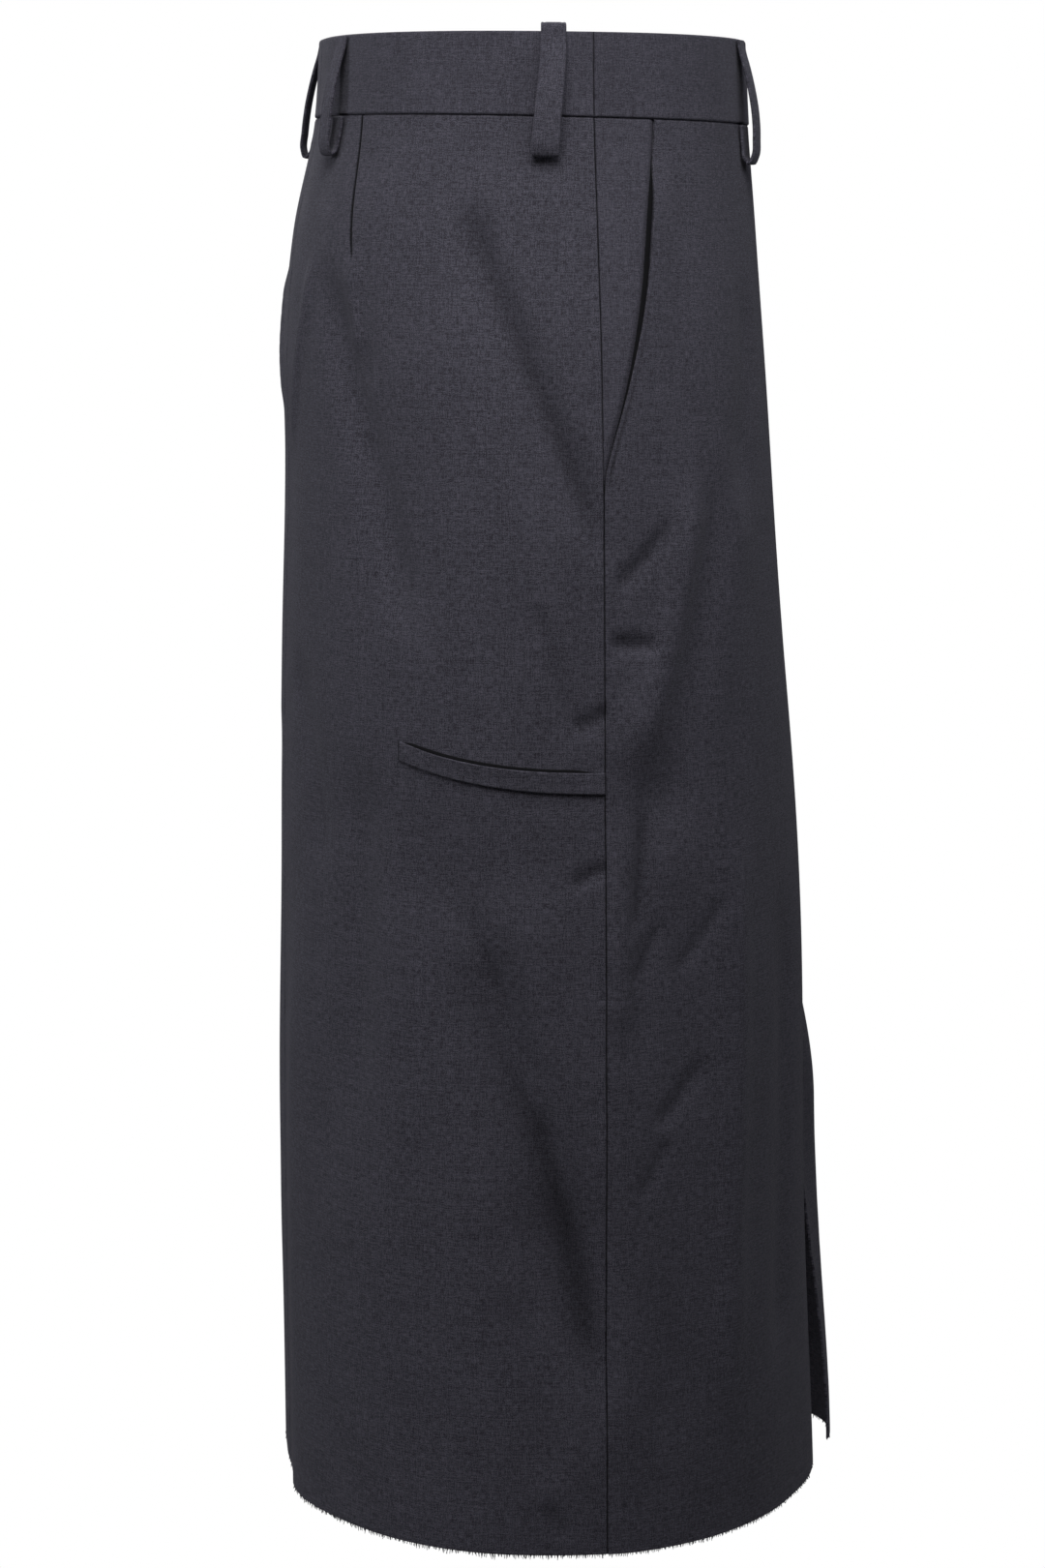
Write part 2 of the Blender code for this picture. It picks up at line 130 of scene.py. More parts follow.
RIGHT_CREASES = rows(
    Fold,
    (-0.345, -0.052, 0.02, -0.262, 0.003, 0.009, -0.0056),
    (-0.25, -0.075, 0.0, -0.215, 0.003, 0.011, 0.0021),
    (-0.722, -0.089, -0.433, -0.295, 0.005, 0.012, -0.0047),
    (-0.345, -0.4, 0.0, -0.7, 0.01, 0.011, -0.0078),
    (-0.37, -0.43, -0.03, -0.72, 0.01, 0.02, -0.0046),
    (-0.285, -0.425, -0.175, -0.5, 0.002, 0.004, 0.0013),
    (-0.33, -0.43, -0.117, -0.544, 0.0, 0.006, 0.0034),
    (-0.583, -0.345, -0.575, -0.545, 0.004, 0.014, -0.0031),
    (0.205, -0.226, 0.022, -0.262, 0.002, 0.0055, -0.0032),
    (0.15, -0.29, 0.006, -0.288, 0.0, 0.0042, -0.0036),
    (0.3, -0.195, 0.045, -0.36, 0.004, 0.013, 0.0056),
    (0.385, -0.185, 0.1, -0.405, 0.004, 0.0185, -0.0062),
    (0.038, -0.372, 0.03, -0.5, 0.0, 0.007, 0.0024),
    (0.095, -0.35, 0.078, -0.52, 0.002, 0.0085, -0.0026),
    (0.15, -0.43, 0.06, -0.468, 0.0, 0.0046, -0.0017),
    (0.11, -0.375, 0.068, -0.44, 0.0, 0.004, -0.0024),
    (0.33, -0.418, 0.17, -0.462, 0.003, 0.0052, -0.0016),
    (0.26, -0.505, 0.12, -0.54, 0.003, 0.006, -0.0024),
    (0.165, -0.545, 0.078, -0.578, 0.0, 0.005, -0.0018),
    (0.35, -0.375, 0.325, -0.7, 0.004, 0.013, 0.0039),
    (-0.07, -0.333, 0.012, -0.322, 0.0, 0.0038, -0.0028),
    (-0.172, -0.262, -0.072, -0.348, 0.003, 0.007, -0.0023),
    (-0.085, -0.413, 0.012, -0.401, 0.0, 0.0036, -0.0026),
    (-0.14, -0.733, -0.095, -0.753, 0.0, 0.005, -0.0016),
    (-0.765, -0.089, -0.96, -0.2, 0.006, 0.007, 0.0029),
    (-0.602, -0.092, -0.588, -0.146, 0.0, 0.008, 0.0021),
    (-0.572, -0.104, -0.545, -0.16, 0.0, 0.006, -0.0013),
    (-0.25, -0.62, -0.13, -0.73, 0.004, 0.012, -0.0026),
    (-0.86, -0.3, -0.7, -0.42, 0.008, 0.014, -0.0026),
    (0.56, -0.1, 0.42, -0.23, 0.006, 0.015, -0.0026),
    (0.62, -0.42, 0.56, -0.7, 0.006, 0.016, -0.0036),
)
LEFT_CREASES = rows(
    Fold,
    (-0.3, -0.07, -0.02, -0.244, 0.004, 0.011, -0.0039),
    (-0.66, -0.108, -0.47, -0.262, 0.006, 0.012, -0.0036),
    (-0.49, -0.372, -0.11, -0.668, 0.006, 0.013, -0.0055),
    (-0.37, -0.455, -0.18, -0.57, 0.0, 0.007, 0.0029),
    (-0.72, -0.35, -0.7, -0.56, 0.004, 0.015, -0.0029),
    (0.25, -0.2, 0.04, -0.255, 0.003, 0.006, -0.0031),
    (0.12, -0.3, 0.014, -0.306, 0.0, 0.005, -0.0021),
    (0.34, -0.23, 0.11, -0.38, 0.006, 0.01, 0.0039),
    (0.1, -0.39, 0.08, -0.64, 0.003, 0.009, 0.0034),
    (0.15, -0.43, 0.075, -0.462, 0.0, 0.0045, -0.0021),
    (0.3, -0.52, 0.19, -0.54, 0.002, 0.0055, -0.0018),
    (0.47, -0.39, 0.44, -0.69, 0.005, 0.015, -0.0042),
    (0.66, -0.3, 0.6, -0.56, 0.006, 0.018, -0.0031),
    (-0.08, -0.335, -0.008, -0.345, 0.0, 0.004, -0.0016),
    (-0.06, -0.43, -0.01, -0.444, 0.0, 0.0045, -0.0016),
    (-0.79, -0.095, -0.95, -0.18, 0.005, 0.008, 0.0026),
    (-0.88, -0.34, -0.76, -0.47, 0.008, 0.015, -0.0026),
    (-0.3, -0.64, -0.18, -0.745, 0.004, 0.013, -0.0026),
)

# Low swells that keep the cloth from lying dead smooth: radians for each step around and metre down, start
# and height. They fade out towards the band and the side seam.
Swell = namedtuple("Swell", "around down start rise")
SWELLS = (
    Swell(3.1, 9.0, 0.7, 0.00045),
    Swell(-4.7, 14.0, 2.1, 0.00035),
    Swell(7.3, -21.0, 4.0, 0.00022),
    Swell(11.0, 5.0, 5.2, 0.00018),
    Swell(1.3, 33.0, 1.1, 0.00016),
)
SWELL_STEPS = 2.2
SWELL_FROM_BAND, SWELL_FROM_SEAM = 0.05, 0.03
# Puckers beside the sewn seams
PUCKERS = (
    Swell(0.0, 330.0, 0.4, 0.0002),
    Swell(0.0, 517.0, 2.2, 0.00013),
    Swell(0.0, 191.0, 1.3, 0.00022),
)
PUCKER_START, PUCKER_REACH = 0.004, 0.007
# Swells and puckers are shifted by side, so that the two sides differ
SWELL_SHIFT, PUCKER_SHIFT = 1.7, 0.11

# Darts of the back panels
DART_TOP_AROUND, DART_END_AROUND = -0.640, -0.597
DART_END = -0.100
DART_DEPTH, DART_WIDTH = 0.0014, 0.0006
# How wide the painted shade along the dart is
DART_SHADE_WIDTH = 0.0010
DART_FADE = 0.014
DART_SIDE = (0.0080, 0.0045, 0.0024, 0.0014, 0.0008, 0.0004)
DART_OFFSETS = (*DART_SIDE, 0.0, *(-offset for offset in reversed(DART_SIDE)))
# The grid has this much cloth before and after the dart, from the side seam to the centre back
BEFORE_DART, AFTER_DART = 0.165, 0.100

# The slash pocket's mouth, from its end at the side seam up to the waistband
Mouth = namedtuple("Mouth", "height around")
MOUTH = (
    Mouth(-0.214, 0.0),
    Mouth(-0.204, 0.006),
    Mouth(-0.193, 0.02),
    Mouth(-0.164, 0.065),
    Mouth(-0.113, 0.127),
    Mouth(-0.063, 0.167),
    Mouth(-0.04, 0.188),
    Mouth(-0.0215, 0.201),
)
MOUTH_TOP = -0.040
MOUTH_TACK, MOUTH_END_FADE = 0.030, 0.010
MOUTH_OPEN = 0.0028
MOUTH_GAPE, MOUTH_GAPE_WIDTH = 0.0026, 0.018
STITCH_FROM_EDGE, STITCH_WIDTH = 0.0034, 0.0008
# How far the stitching beside the mouth pulls the cloth in, and how much painted shade lies along it
STITCH_PULL, STITCH_SHADE = 0.0003, 0.5
# The sheet of painted shade in the mouth, a near-black strip standing in for the shadow inside the pocket:
# how far it runs past the mouth's end and its two edges, how far it stands off the facing, and its wall
MOUTH_SHADE_LAP = 0.004
MOUTH_SHADE_BEFORE, MOUTH_SHADE_BEYOND = 0.0003, 0.0012
MOUTH_SHADE_PROUD, SHADE_SHEET_WALL = 0.0006, 0.0002
FACING_UNDER, FACING_TIP, FACING_DIP = 0.022, 0.012, 0.0045
FACING_END = -0.232
BAG_TOP, BAG_END = -0.045, -0.300
BAG_FROM_SEAM = 0.008
BAG_WIDTH, BAG_NARROWING = 0.140, 0.35

# The low welts: they run back from the side seam, climb in a curve and gape a little along the upper edge
WELT_REACH, WELT_LENGTH = 0.453, 0.122
WELT_SEAM_WIDTH, WELT_END_WIDTH = 0.0112, 0.0100
WELT_HEIGHT, WELT_CLIMB, WELT_CURVE = -0.3595, 0.0145, 2.4
WELT_GAPE = 0.0010
WELT_GAPE_FROM, WELT_GAPE_TO = 0.15, 0.97
WELT_GAPE_RISE, WELT_GAPE_FALL = 0.40, 0.20
# Painted shade at the welt's free end: how dark it is and how wide
WELT_END_SHADE, WELT_END_SHADE_WIDTH = 0.70, 0.0013
# The sheet of painted shade along the welt's upper edge, a near-black strip standing in for the shadow inside
# the pocket: how far it stands above the welt, rising and falling, where it starts and ends along the welt,
# how far it laps down and how far it stands proud
WELT_OPEN, WELT_OPEN_RISE, WELT_OPEN_FALL = 0.0015, 0.15, 0.06
WELT_SHADE_FROM, WELT_SHADE_TO = 0.02, 0.985
WELT_SHADE_LAP, WELT_SHADE_PROUD = 0.0006, 0.0005
WELT_BAG_FROM, WELT_BAG_TO = 0.030, 0.430
WELT_BAG_END = -0.470

# Belt loops: a strip's middle line falls through these knots, and a side loop starts behind the band's top
Loop = namedtuple("Loop", "name side around lean")
LOOPS = (
    Loop("front", RIGHT, 0.620, 0.000),
    Loop("front", LEFT, 0.620, 0.000),
    Loop("side", RIGHT, -0.105, -0.020),
    Loop("side", LEFT, -0.105, -0.020),
    Loop("back", RIGHT, -0.745, 0.000),
    Loop("back", LEFT, -0.715, 0.000),
)
LOOP_WIDTH = 0.013
LOOP_FOOT = -0.0430
LOOP_GROOVE, LOOP_GROOVE_AT, LOOP_GROOVE_WIDTH = 0.00022, 0.36, 0.045
Knot = namedtuple("Knot", "lift height")
LOOP_FALL = (
    Knot(0.0019, 0.0208),
    Knot(0.0028, 0.015),
    Knot(0.005, 0.006),
    Knot(0.007, -0.004),
    Knot(0.0085, -0.016),
    Knot(0.0084, -0.03),
    Knot(0.007, -0.0395),
    Knot(0.0046, -0.043),
    Knot(0.0026, -0.041),
    Knot(0.0019, -0.034),
    Knot(0.0018, -0.0224),
)
LOOP_OVER_TOP = (
    Knot(-0.0008, 0.0226),
    Knot(-0.0008, 0.024),
    Knot(0.0003, 0.0253),
    Knot(0.0017, 0.024),
)

# Concealed zip: its tape, and the coil along the tape's middle
ZIP_WIDTH, ZIP_WALL = 0.024, 0.0012
ZIP_TOP, ZIP_END = 0.019, -0.205
ZIP_COIL, ZIP_COIL_WIDTH = 0.0004, 0.0025

# Loose threads of the raw hem: shares of the longest that all, those in tufts and stray ones have. They are
# longest about one place at the back.
FRAY_ALL, FRAY_TUFTED, FRAY_STRAY = 0.22, 0.50, 0.28
FRAY_SPARSE, FRAY_MIDDLE, FRAY_REACH = 0.35, -0.26, 0.13
FRAY_SPACING, FRAY_SCATTER = 0.00095, 0.0002
FRAY_ROOT, FRAY_LEAN = 0.0009, 0.20
FRAY_ROOT_RADIUS, FRAY_TIP_RADIUS = 0.00030, 0.00012
TUFT_WAVES, TUFT_START, FRAY_SEED = (61, 23), 2.0, 7

# Sewn edges: the groove they lie in, and how far the panels' edge is turned up behind the band
SEAM_GROOVE, SEAM_GROOVE_WIDTH = 0.0022, 0.0007
TURN_UP = 0.0012
# How much painted shade the waistband's seams get, as a share of the panels'
BAND_SEAM_SHADE = 0.35
# How strongly the painted shade darkens the cloth's colour down in a crease
HOLLOW_SHADE = 0.34

# Each sheet's grid: its width and length, and the spacing of its lines across and down. Near an edge the
# lines crowd together, so that it can be rounded.
Grid = namedtuple("Grid", "width length across down")
PANEL_SPACING = 0.0031
FRONT_GRID = Grid(0.262, PANEL_TOP - HEM, PANEL_SPACING, PANEL_SPACING)
BACK_GRID = Grid(QUARTER_GIRTH, PANEL_TOP - HEM, PANEL_SPACING, PANEL_SPACING)
BAND_FRONT_GRID = Grid(0.42, BAND_TOP - BAND_LOW, 0.0026, 0.0026)
BAND_BACK_GRID = Grid(0.23, BAND_TOP - BAND_LOW, 0.0026, 0.0026)
FACING_GRID = Grid(0.05, PANEL_TOP - FACING_END, 0.0015, 0.0024)
MOUTH_SHADE_GRID = Grid(0.004, 0.18, 0.0010, 0.0024)
BAG_GRID = Grid(0.12, BAG_TOP - BAG_END, 0.004, 0.004)
WELT_GRID = Grid(WELT_LENGTH, 0.0106, 0.0020, 0.0010)
WELT_SHADE_GRID = Grid(0.12, 0.0018, 0.0020, 0.0006)
WELT_BAG_GRID = Grid(0.106, 0.125, 0.004, 0.004)
ZIP_GRID = Grid(ZIP_WIDTH, ZIP_TOP - ZIP_END, 0.0015, 0.003)
LOOP_SPACING = (0.0011, 0.0012)
EDGE_LINES = (0.0, 0.00025, 0.0006, 0.0011, 0.0018, 0.0030)
EDGE_ROUNDING = 0.96

# The weave: the middle of its mixed noises, how far from it a fibre is wholly light or dark, and how much
# the wide clouds add. A row of four maps a value's low and high end to a new low and high end.
WEAVE_MIDDLE, FIBRE_SPREAD, CLOUD_SHARE = 0.525, 0.105, 0.04
FLECKS = (0.66, 0.80, 0.0, 0.40)
# Painted shade: the colour's brightness falls from whole to a tenth as the painted shade runs from 0 to 0.7
PAINTED_SHADE_TO_BRIGHTNESS = (0.0, 0.7, 1.0, 0.10)
FINE_TO_ROUGHNESS = (0.2, 0.8, 0.78, 0.92)
WEAVE_RELIEF = 0.0003

# What the finishes read: a piece's flat cloth coordinates, and the painted shade that darkens a point the
# deeper it lies in a seam or crease
UV_NAME = "cloth"
PAINTED_SHADE_ATTRIBUTE = "sunk"


def length_property(name, default, description):
    return bpy.props.FloatProperty(name=name, description=description, default=default, unit="LENGTH")


def colour_property(name, default, description):
    words = {"name": name, "description": description}
    return bpy.props.FloatVectorProperty(**words, default=default, subtype="COLOR")


class SkirtSizes(bpy.types.PropertyGroup):
    cloth: length_property("Cloth", 0.0014, "Thickness of the wool")
    band: length_property("Band", 0.0024, "Thickness of the doubled waistband")
    loop: length_property("Loop", 0.0016, "Thickness of a belt loop")
    welt: length_property("Welt", 0.0013, "Thickness of a welt")
    pocketing: length_property("Pocketing", 0.0012, "Thickness of the pocket bags")
    crease: bpy.props.FloatProperty(
        name="Crease", default=1.0, description="Share of the creases' full depth"
    )
    fray: length_property("Fray", 0.0044, "Length of the longest loose threads at the hem")
    thread: length_property("Thread", 0.00055, "Width of one thread of the weave")


class SkirtColours(bpy.types.PropertyGroup):
    wool: colour_property("Wool", (0.0500, 0.0482, 0.0650), "Main colour of the wool")
    # The near-black colour of the sheets of painted shade laid in the pockets' mouths
    shade: colour_property("Shade", (0.007, 0.007, 0.009), "Wool deep inside a pocket's mouth")
    light_fibre: colour_property("Light fibre", (0.114, 0.110, 0.142), "Pale fibres of the melange")
    dark_fibre: colour_property("Dark fibre", (0.020, 0.019, 0.026), "Dark fibres of the melange")
    pocketing: colour_property("Pocketing", (0.034, 0.033, 0.040), "Colour of the pocket bags")
    tape: colour_property("Tape", (0.016, 0.015, 0.019), "Colour of the zip's tape")
    floor: colour_property("Floor", (0.34, 0.34, 0.34), "Colour of the studio floor")


def smooth(value):
    """0 below 0, 1 above 1 and an even curve between."""
    value = np.clip(value, 0.0, 1.0)
    return value * value * (3 - 2 * value)


def between(start, end, share):
    return start + (end - start) * share


def bell(distance, width):
    """1 in the middle, fading to nothing within some two widths."""
    return np.exp(-((distance / width) ** 2))


def girth_share(distance):
    """What share of a quarter's girth a distance along the cloth takes up."""
    return distance / QUARTER_GIRTH


def smooth_curve(positions, values, where):
    """Values at the given places, on a smooth curve through those at the rising positions."""
    where = np.clip(where, positions[0], positions[-1])
    slopes = np.gradient(values, positions, axis=0)
    i = np.clip(np.searchsorted(positions, where) - 1, 0, len(positions) - 2)
    span = positions[i + 1] - positions[i]
    u = (where - positions[i]) / span
    if values.ndim > 1:
        span, u = span[:, None], u[:, None]
    return (
        values[i] * (1 + 2 * u) * (1 - u) ** 2
        + values[i + 1] * u**2 * (3 - 2 * u)
        + span * (slopes[i] * u * (1 - u) ** 2 - slopes[i + 1] * u**2 * (1 - u))
    )


def along(table, key, height):
    """A table's column at the given heights; the lowest row comes first."""
    heights = np.array([row.height for row in table])
    return smooth_curve(heights, np.array([getattr(row, key) for row in table]), height)


def plain_form(side, around, height):
    """(x, y) of the skirt's form without its folds."""
    front = around > 0
    front_fullness = np.where(
        side < 0, along(SECTIONS, "right_fullness", height), along(SECTIONS, "left_fullness", height)
    )
    fullness = np.where(front, front_fullness, along(SECTIONS, "back_fullness", height))
    depth = np.where(front, -along(SECTIONS, "front", height), along(SECTIONS, "back", height))
    turn = np.abs(around) * pi / 2
    across, forward = np.clip(np.cos(turn), 0, 1), np.sin(turn)
    swell = (across**fullness + forward**fullness) ** (-1 / fullness)
    x = side * along(SECTIONS, "half_width", height) * across * swell
    return x, SIDE_SEAM_Y + depth * forward * swell


def fold_rise(fold, around, height):
    """How far one fold lifts the cloth at each place."""
    start = np.array([fold.from_around * QUARTER_GIRTH, fold.from_height])
    run = np.array([fold.to_around * QUARTER_GIRTH, fold.to_height]) - start
    length = np.hypot(*run)
    run = run / length
    right = around * QUARTER_GIRTH - start[0]
    down = height - start[1]
    share = (right * run[0] + down * run[1]) / length
    beside = right * run[1] - down * run[0] + fold.bow * 4 * share * (1 - share)
    ends = smooth(share / FOLD_END) * smooth((1 - share) / FOLD_END)
    return fold.rise * ends * bell(beside, fold.half_width)


def slit_share(height):
    """0 at the top of the slit, 1 at the hem."""
    return smooth((SLIT_TOP - height) / (SLIT_TOP - HEM))


def waves(swells, around, height):
    return sum(s.rise * np.sin(s.around * around + s.down * height + s.start) for s in swells)


def drape(side, around, height):
    """How far the folds, the creases and the cloth's own unevenness lift it out of the plain form."""
    sizes = bpy.context.scene.skirt_sizes
    halves = []
    for folds, creases in ((RIGHT_FOLDS, RIGHT_CREASES), (LEFT_FOLDS, LEFT_CREASES)):
        large = sum(fold_rise(fold, around, height) for fold in folds)
        small = sum(fold_rise(fold, around, height) for fold in creases)
        halves.append(large + sizes.crease * small)
    from_centre = (1 - np.abs(around)) * QUARTER_GIRTH
    held = smooth(from_centre / SEAM_HOLD)
    held = np.where(around > 0, held + (1 - held) * slit_share(height), held)
    below_band = smooth((BAND_LOW - height) / SWELL_FROM_BAND)
    uneven = waves(SWELLS, around * SWELL_STEPS + side * SWELL_SHIFT, height) * below_band * held
    from_seam = np.abs(around) * QUARTER_GIRTH
    pucker = waves(PUCKERS, around, height + PUCKER_SHIFT * side) * below_band
    near_seam = np.exp(-from_seam / PUCKER_REACH) + np.exp(-from_centre / PUCKER_REACH)
    seam_pull = smooth(from_seam / PUCKER_START) * smooth(from_centre / PUCKER_START)
    uneven = uneven * smooth(from_seam / SWELL_FROM_SEAM) + pucker * near_seam * seam_pull
    return np.where(side < 0, halves[0], halves[1]) * held + sizes.crease * uneven


def hollow_shade(side, around, height):
    """Painted shade in the creases: how much the cloth's colour is darkened there; the narrower and deeper,
    the darker.
    """
    shades = []
    for creases in (RIGHT_CREASES, LEFT_CREASES):
        sunk = -sum(fold_rise(fold, around, height) / fold.half_width for fold in creases)
        shades.append(HOLLOW_SHADE * np.clip(sunk, 0, 1))
    return np.where(side < 0, *shades)


def outer_face(side, around, height):
    """Points of the cloth's outer face, folds and all."""
    x, y = plain_form(side, around, height)
    near_x, near_y = plain_form(side, np.maximum(around - STEP, -1.0), height)
    far_x, far_y = plain_form(side, np.minimum(around + STEP, 1.0), height)
    run_x, run_y = far_x - near_x, far_y - near_y
    out = -side / np.hypot(run_x, run_y)
    rise = drape(side, around, height)
    tilt = WAIST_TILT * smooth((height - TILT_START) / (TILT_END - TILT_START))
    tilt = tilt - (WAIST_TILT - TOP_TILT) * smooth((height - BAND_LOW) / (BAND_TOP - BAND_LOW))
    return np.stack([x + out * run_y * rise, y - out * run_x * rise, height + tilt * y], axis=-1)


def lifted(side, around, height, lift):
    """Points at a lift from the cloth's outer face, square to it."""
    side, around, height, lift = np.broadcast_arrays(side, around, height, lift)
    run = outer_face(side, np.minimum(around + STEP, 1.0), height)
    run = run - outer_face(side, np.maximum(around - STEP, -1.0), height)
    climb = outer_face(side, around, height + STEP) - outer_face(side, around, height - STEP)
    normal = np.cross(run, climb) * -side[..., None]
    normal /= np.linalg.norm(normal, axis=-1, keepdims=True)
    return outer_face(side, around, height) + normal * lift[..., None]


def lines(length, spacing):
    """Shares of a length where a sheet's grid has its lines: even ones, and closer ones near both ends."""
    near = np.array([mark for mark in EDGE_LINES if mark < length / 3]) / length
    middle = 1 - 2 * near[-1]
    even = np.linspace(near[-1], 1 - near[-1], max(2, round(length * middle / spacing) + 1))
    return np.concatenate([near[:-1], even, 1 - near[:-1][::-1]])


def mesh_of(builder, name):
    mesh = bpy.data.meshes.new(name)
    builder.to_mesh(mesh)
    builder.free()
    return mesh


def shade_and_link(mesh, name, material):
    mesh.polygons.foreach_set("use_smooth", np.ones(len(mesh.polygons), bool))
    mesh.materials.append(material)
    piece = bpy.data.objects.new(name, mesh)
    bpy.context.scene.collection.objects.link(piece)
    return piece


def signed_volume(mesh):
    mesh.calc_loop_triangles()
    points = np.empty(len(mesh.vertices) * 3)
    mesh.vertices.foreach_get("co", points)
    corners = np.empty(len(mesh.loop_triangles) * 3, int)
    mesh.loop_triangles.foreach_get("vertices", corners)
    a, b, c = points.reshape(-1, 3)[corners.reshape(-1, 3)].transpose(1, 0, 2)
    return np.einsum("ij,ij->", a, np.cross(b, c)) / 6


def seam_groove(distance):
    """How deep the cloth turns in beside a sewn seam."""
    return SEAM_GROOVE * np.clip(1 - distance / SEAM_GROOVE_WIDTH, 0, 1) ** 2


def tucked(height):
    """The given heights, with the edge at the waist seam turned up behind the waistband."""
    return height + TURN_UP * seam_groove(PANEL_TOP - height) / SEAM_GROOVE


def edge_lifts(distances, seams, wall):
    """Lifts of a sheet's outer and inner face: a free edge is rounded over, a seam turns in deeply."""
    outer = np.zeros(len(distances[0]))
    inner = np.full(len(distances[0]), -wall)
    for distance, seam in zip(distances, seams):
        if seam:
            outer = np.minimum(outer, -seam_groove(distance))
            inner = np.minimum(inner, -wall - seam_groove(distance))
            continue
        in_edge = np.clip(1 - distance / (wall / 2), 0, 1)
        rounded = EDGE_ROUNDING * wall / 2 * (1 - np.sqrt(1 - in_edge**2))
        outer, inner = np.minimum(outer, -rounded), np.maximum(inner, rounded - wall)
    return outer, inner


def seam_shade(distances, seams):
    """Painted shade beside a sewn seam: 1 at the bottom of a seam's groove, where no light comes, 0 on the
    open cloth.
    """
    shade = np.zeros(len(distances[0]))
    for distance, seam in zip(distances, seams):
        if seam:
            shade = np.maximum(shade, seam_groove(distance) / SEAM_GROOVE)
    return shade


def cloth_sheet(name, node, material, grid, place, wall, columns=None, seams="", shade=1.0):
    """A sheet of cloth with a front, a back and finished edges, laid on place(across, down, lift).

    place gives points, where each lies in the flat cloth, in metres, and, if it likes, the painted shade that
    darkens the colour in its seams and creases; else the sewn edges get painted shade, scaled by shade.
    seams names the edges that are sewn to a neighbour: s and e for the first and last column, t and b for
    the top and bottom row. columns, if given, takes the place of the grid's own lines across.
    """
    across_lines = lines(grid.width, grid.across) if columns is None else columns
    down_lines = lines(grid.length, grid.down)
    cells = [len(across_lines) - 1, len(down_lines) - 1]
    builder = bmesh.new()
    bmesh.ops.create_grid(builder, x_segments=cells[0], y_segments=cells[1], size=0.5)
    copy = bmesh.ops.extrude_face_region(builder, geom=builder.faces[:])
    back = [item for item in copy["geom"] if isinstance(item, bmesh.types.BMVert)]
    bmesh.ops.translate(builder, verts=back, vec=(0.0, 0.0, -1.0))
    bmesh.ops.recalc_face_normals(builder, faces=builder.faces[:])
    mesh = mesh_of(builder, name)
    flat = np.empty(len(mesh.vertices) * 3)
    mesh.vertices.foreach_get("co", flat)
    flat = flat.reshape(-1, 3)
    across = across_lines[np.rint((flat[:, 0] + 0.5) * cells[0]).astype(int)]
    down = down_lines[np.rint((0.5 - flat[:, 1]) * cells[1]).astype(int)]
    behind = flat[:, 2] < -0.5
    distances = [share * grid.width for share in (across, 1 - across)]
    distances += [share * grid.length for share in (down, 1 - down)]
    sewn = [letter in seams for letter in "setb"]
    outer, inner = edge_lifts(distances, sewn, wall)
    points, in_cloth, *shaded = place(across, down, np.where(behind, inner, outer))
    # Painted shade for the finish, darkening the colour in seams and creases
    sunk = shaded[0] if shaded else shade * seam_shade(distances, sewn)
    mesh.vertices.foreach_set("co", points.reshape(-1))
    mesh.attributes.new(PAINTED_SHADE_ATTRIBUTE, "FLOAT", "POINT").data.foreach_set("value", sunk)
    layer = mesh.uv_layers.new(name=UV_NAME)
    corners = np.empty(len(mesh.loops), int)
    mesh.loops.foreach_get("vertex_index", corners)
    layer.data.foreach_set("uv", in_cloth[corners].reshape(-1))
    if signed_volume(mesh) < 0:
        mesh.flip_normals()
    piece = shade_and_link(mesh, name, material)
    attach(piece, "root")
    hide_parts(node)
    return piece


def on_cloth(side, around, height):
    """Where a point lies in the flat cloth, in metres; the two sides are kept apart."""
    return np.stack(np.broadcast_arrays(side * (around * QUARTER_GIRTH + 1.0), height), axis=-1)


def mouth_around(height):
    """Where the pocket's mouth lies at each height; at the side seam below its end."""
    return np.where(height > MOUTH[0].height, along(MOUTH, "around", height), 0.0)


def mouth_open(height):
    """How far the slash pocket gapes: shut at its end and below the waistband, widest above the middle."""
    from_end, from_top = height - MOUTH[0].height, MOUTH_TOP - height
    return smooth(from_end / (4 * MOUTH_TACK)) * smooth(from_top / MOUTH_TACK)


def front_panel(side, material):
    sizes = bpy.context.scene.skirt_sizes

    def place(across, down, lift):
        height = between(PANEL_TOP, HEM, down)
        side_edge = mouth_around(height) + girth_share(MOUTH_OPEN * mouth_open(height))
        around = between(side_edge, 1 - girth_share(SLIT_OPEN[side] * slit_share(height)), across)
        from_edge = (around - side_edge) * QUARTER_GIRTH
        gape = MOUTH_GAPE * mouth_open(height) * bell(from_edge, MOUTH_GAPE_WIDTH)
        above_end = smooth((height - MOUTH[0].height) / MOUTH_END_FADE)
        stitched = above_end * bell(from_edge - STITCH_FROM_EDGE, STITCH_WIDTH)
        outer = lift > -sizes.cloth / 2
        sewn = np.where(outer, 0.0, -sizes.cloth) - seam_groove(from_edge)
        lift = between(lift, sewn, 1 - above_end) + gape - STITCH_PULL * stitched
        # Painted shade: along the mouth's seam below its end, along the stitching beside the mouth, and in the
        # creases
        sunk = (1 - above_end) * seam_shade((from_edge,), (True,)) + STITCH_SHADE * stitched
        sunk = np.maximum(sunk, hollow_shade(side, around, height))
        return lifted(side, around, tucked(height), lift), on_cloth(side, around, height), sunk

    word = SIDE_NAMES[side]
    panel = cloth_sheet(
        f"front_cloth_{word}", f"front_panel_{word}", material, FRONT_GRID, place, sizes.cloth, seams="t"
    )


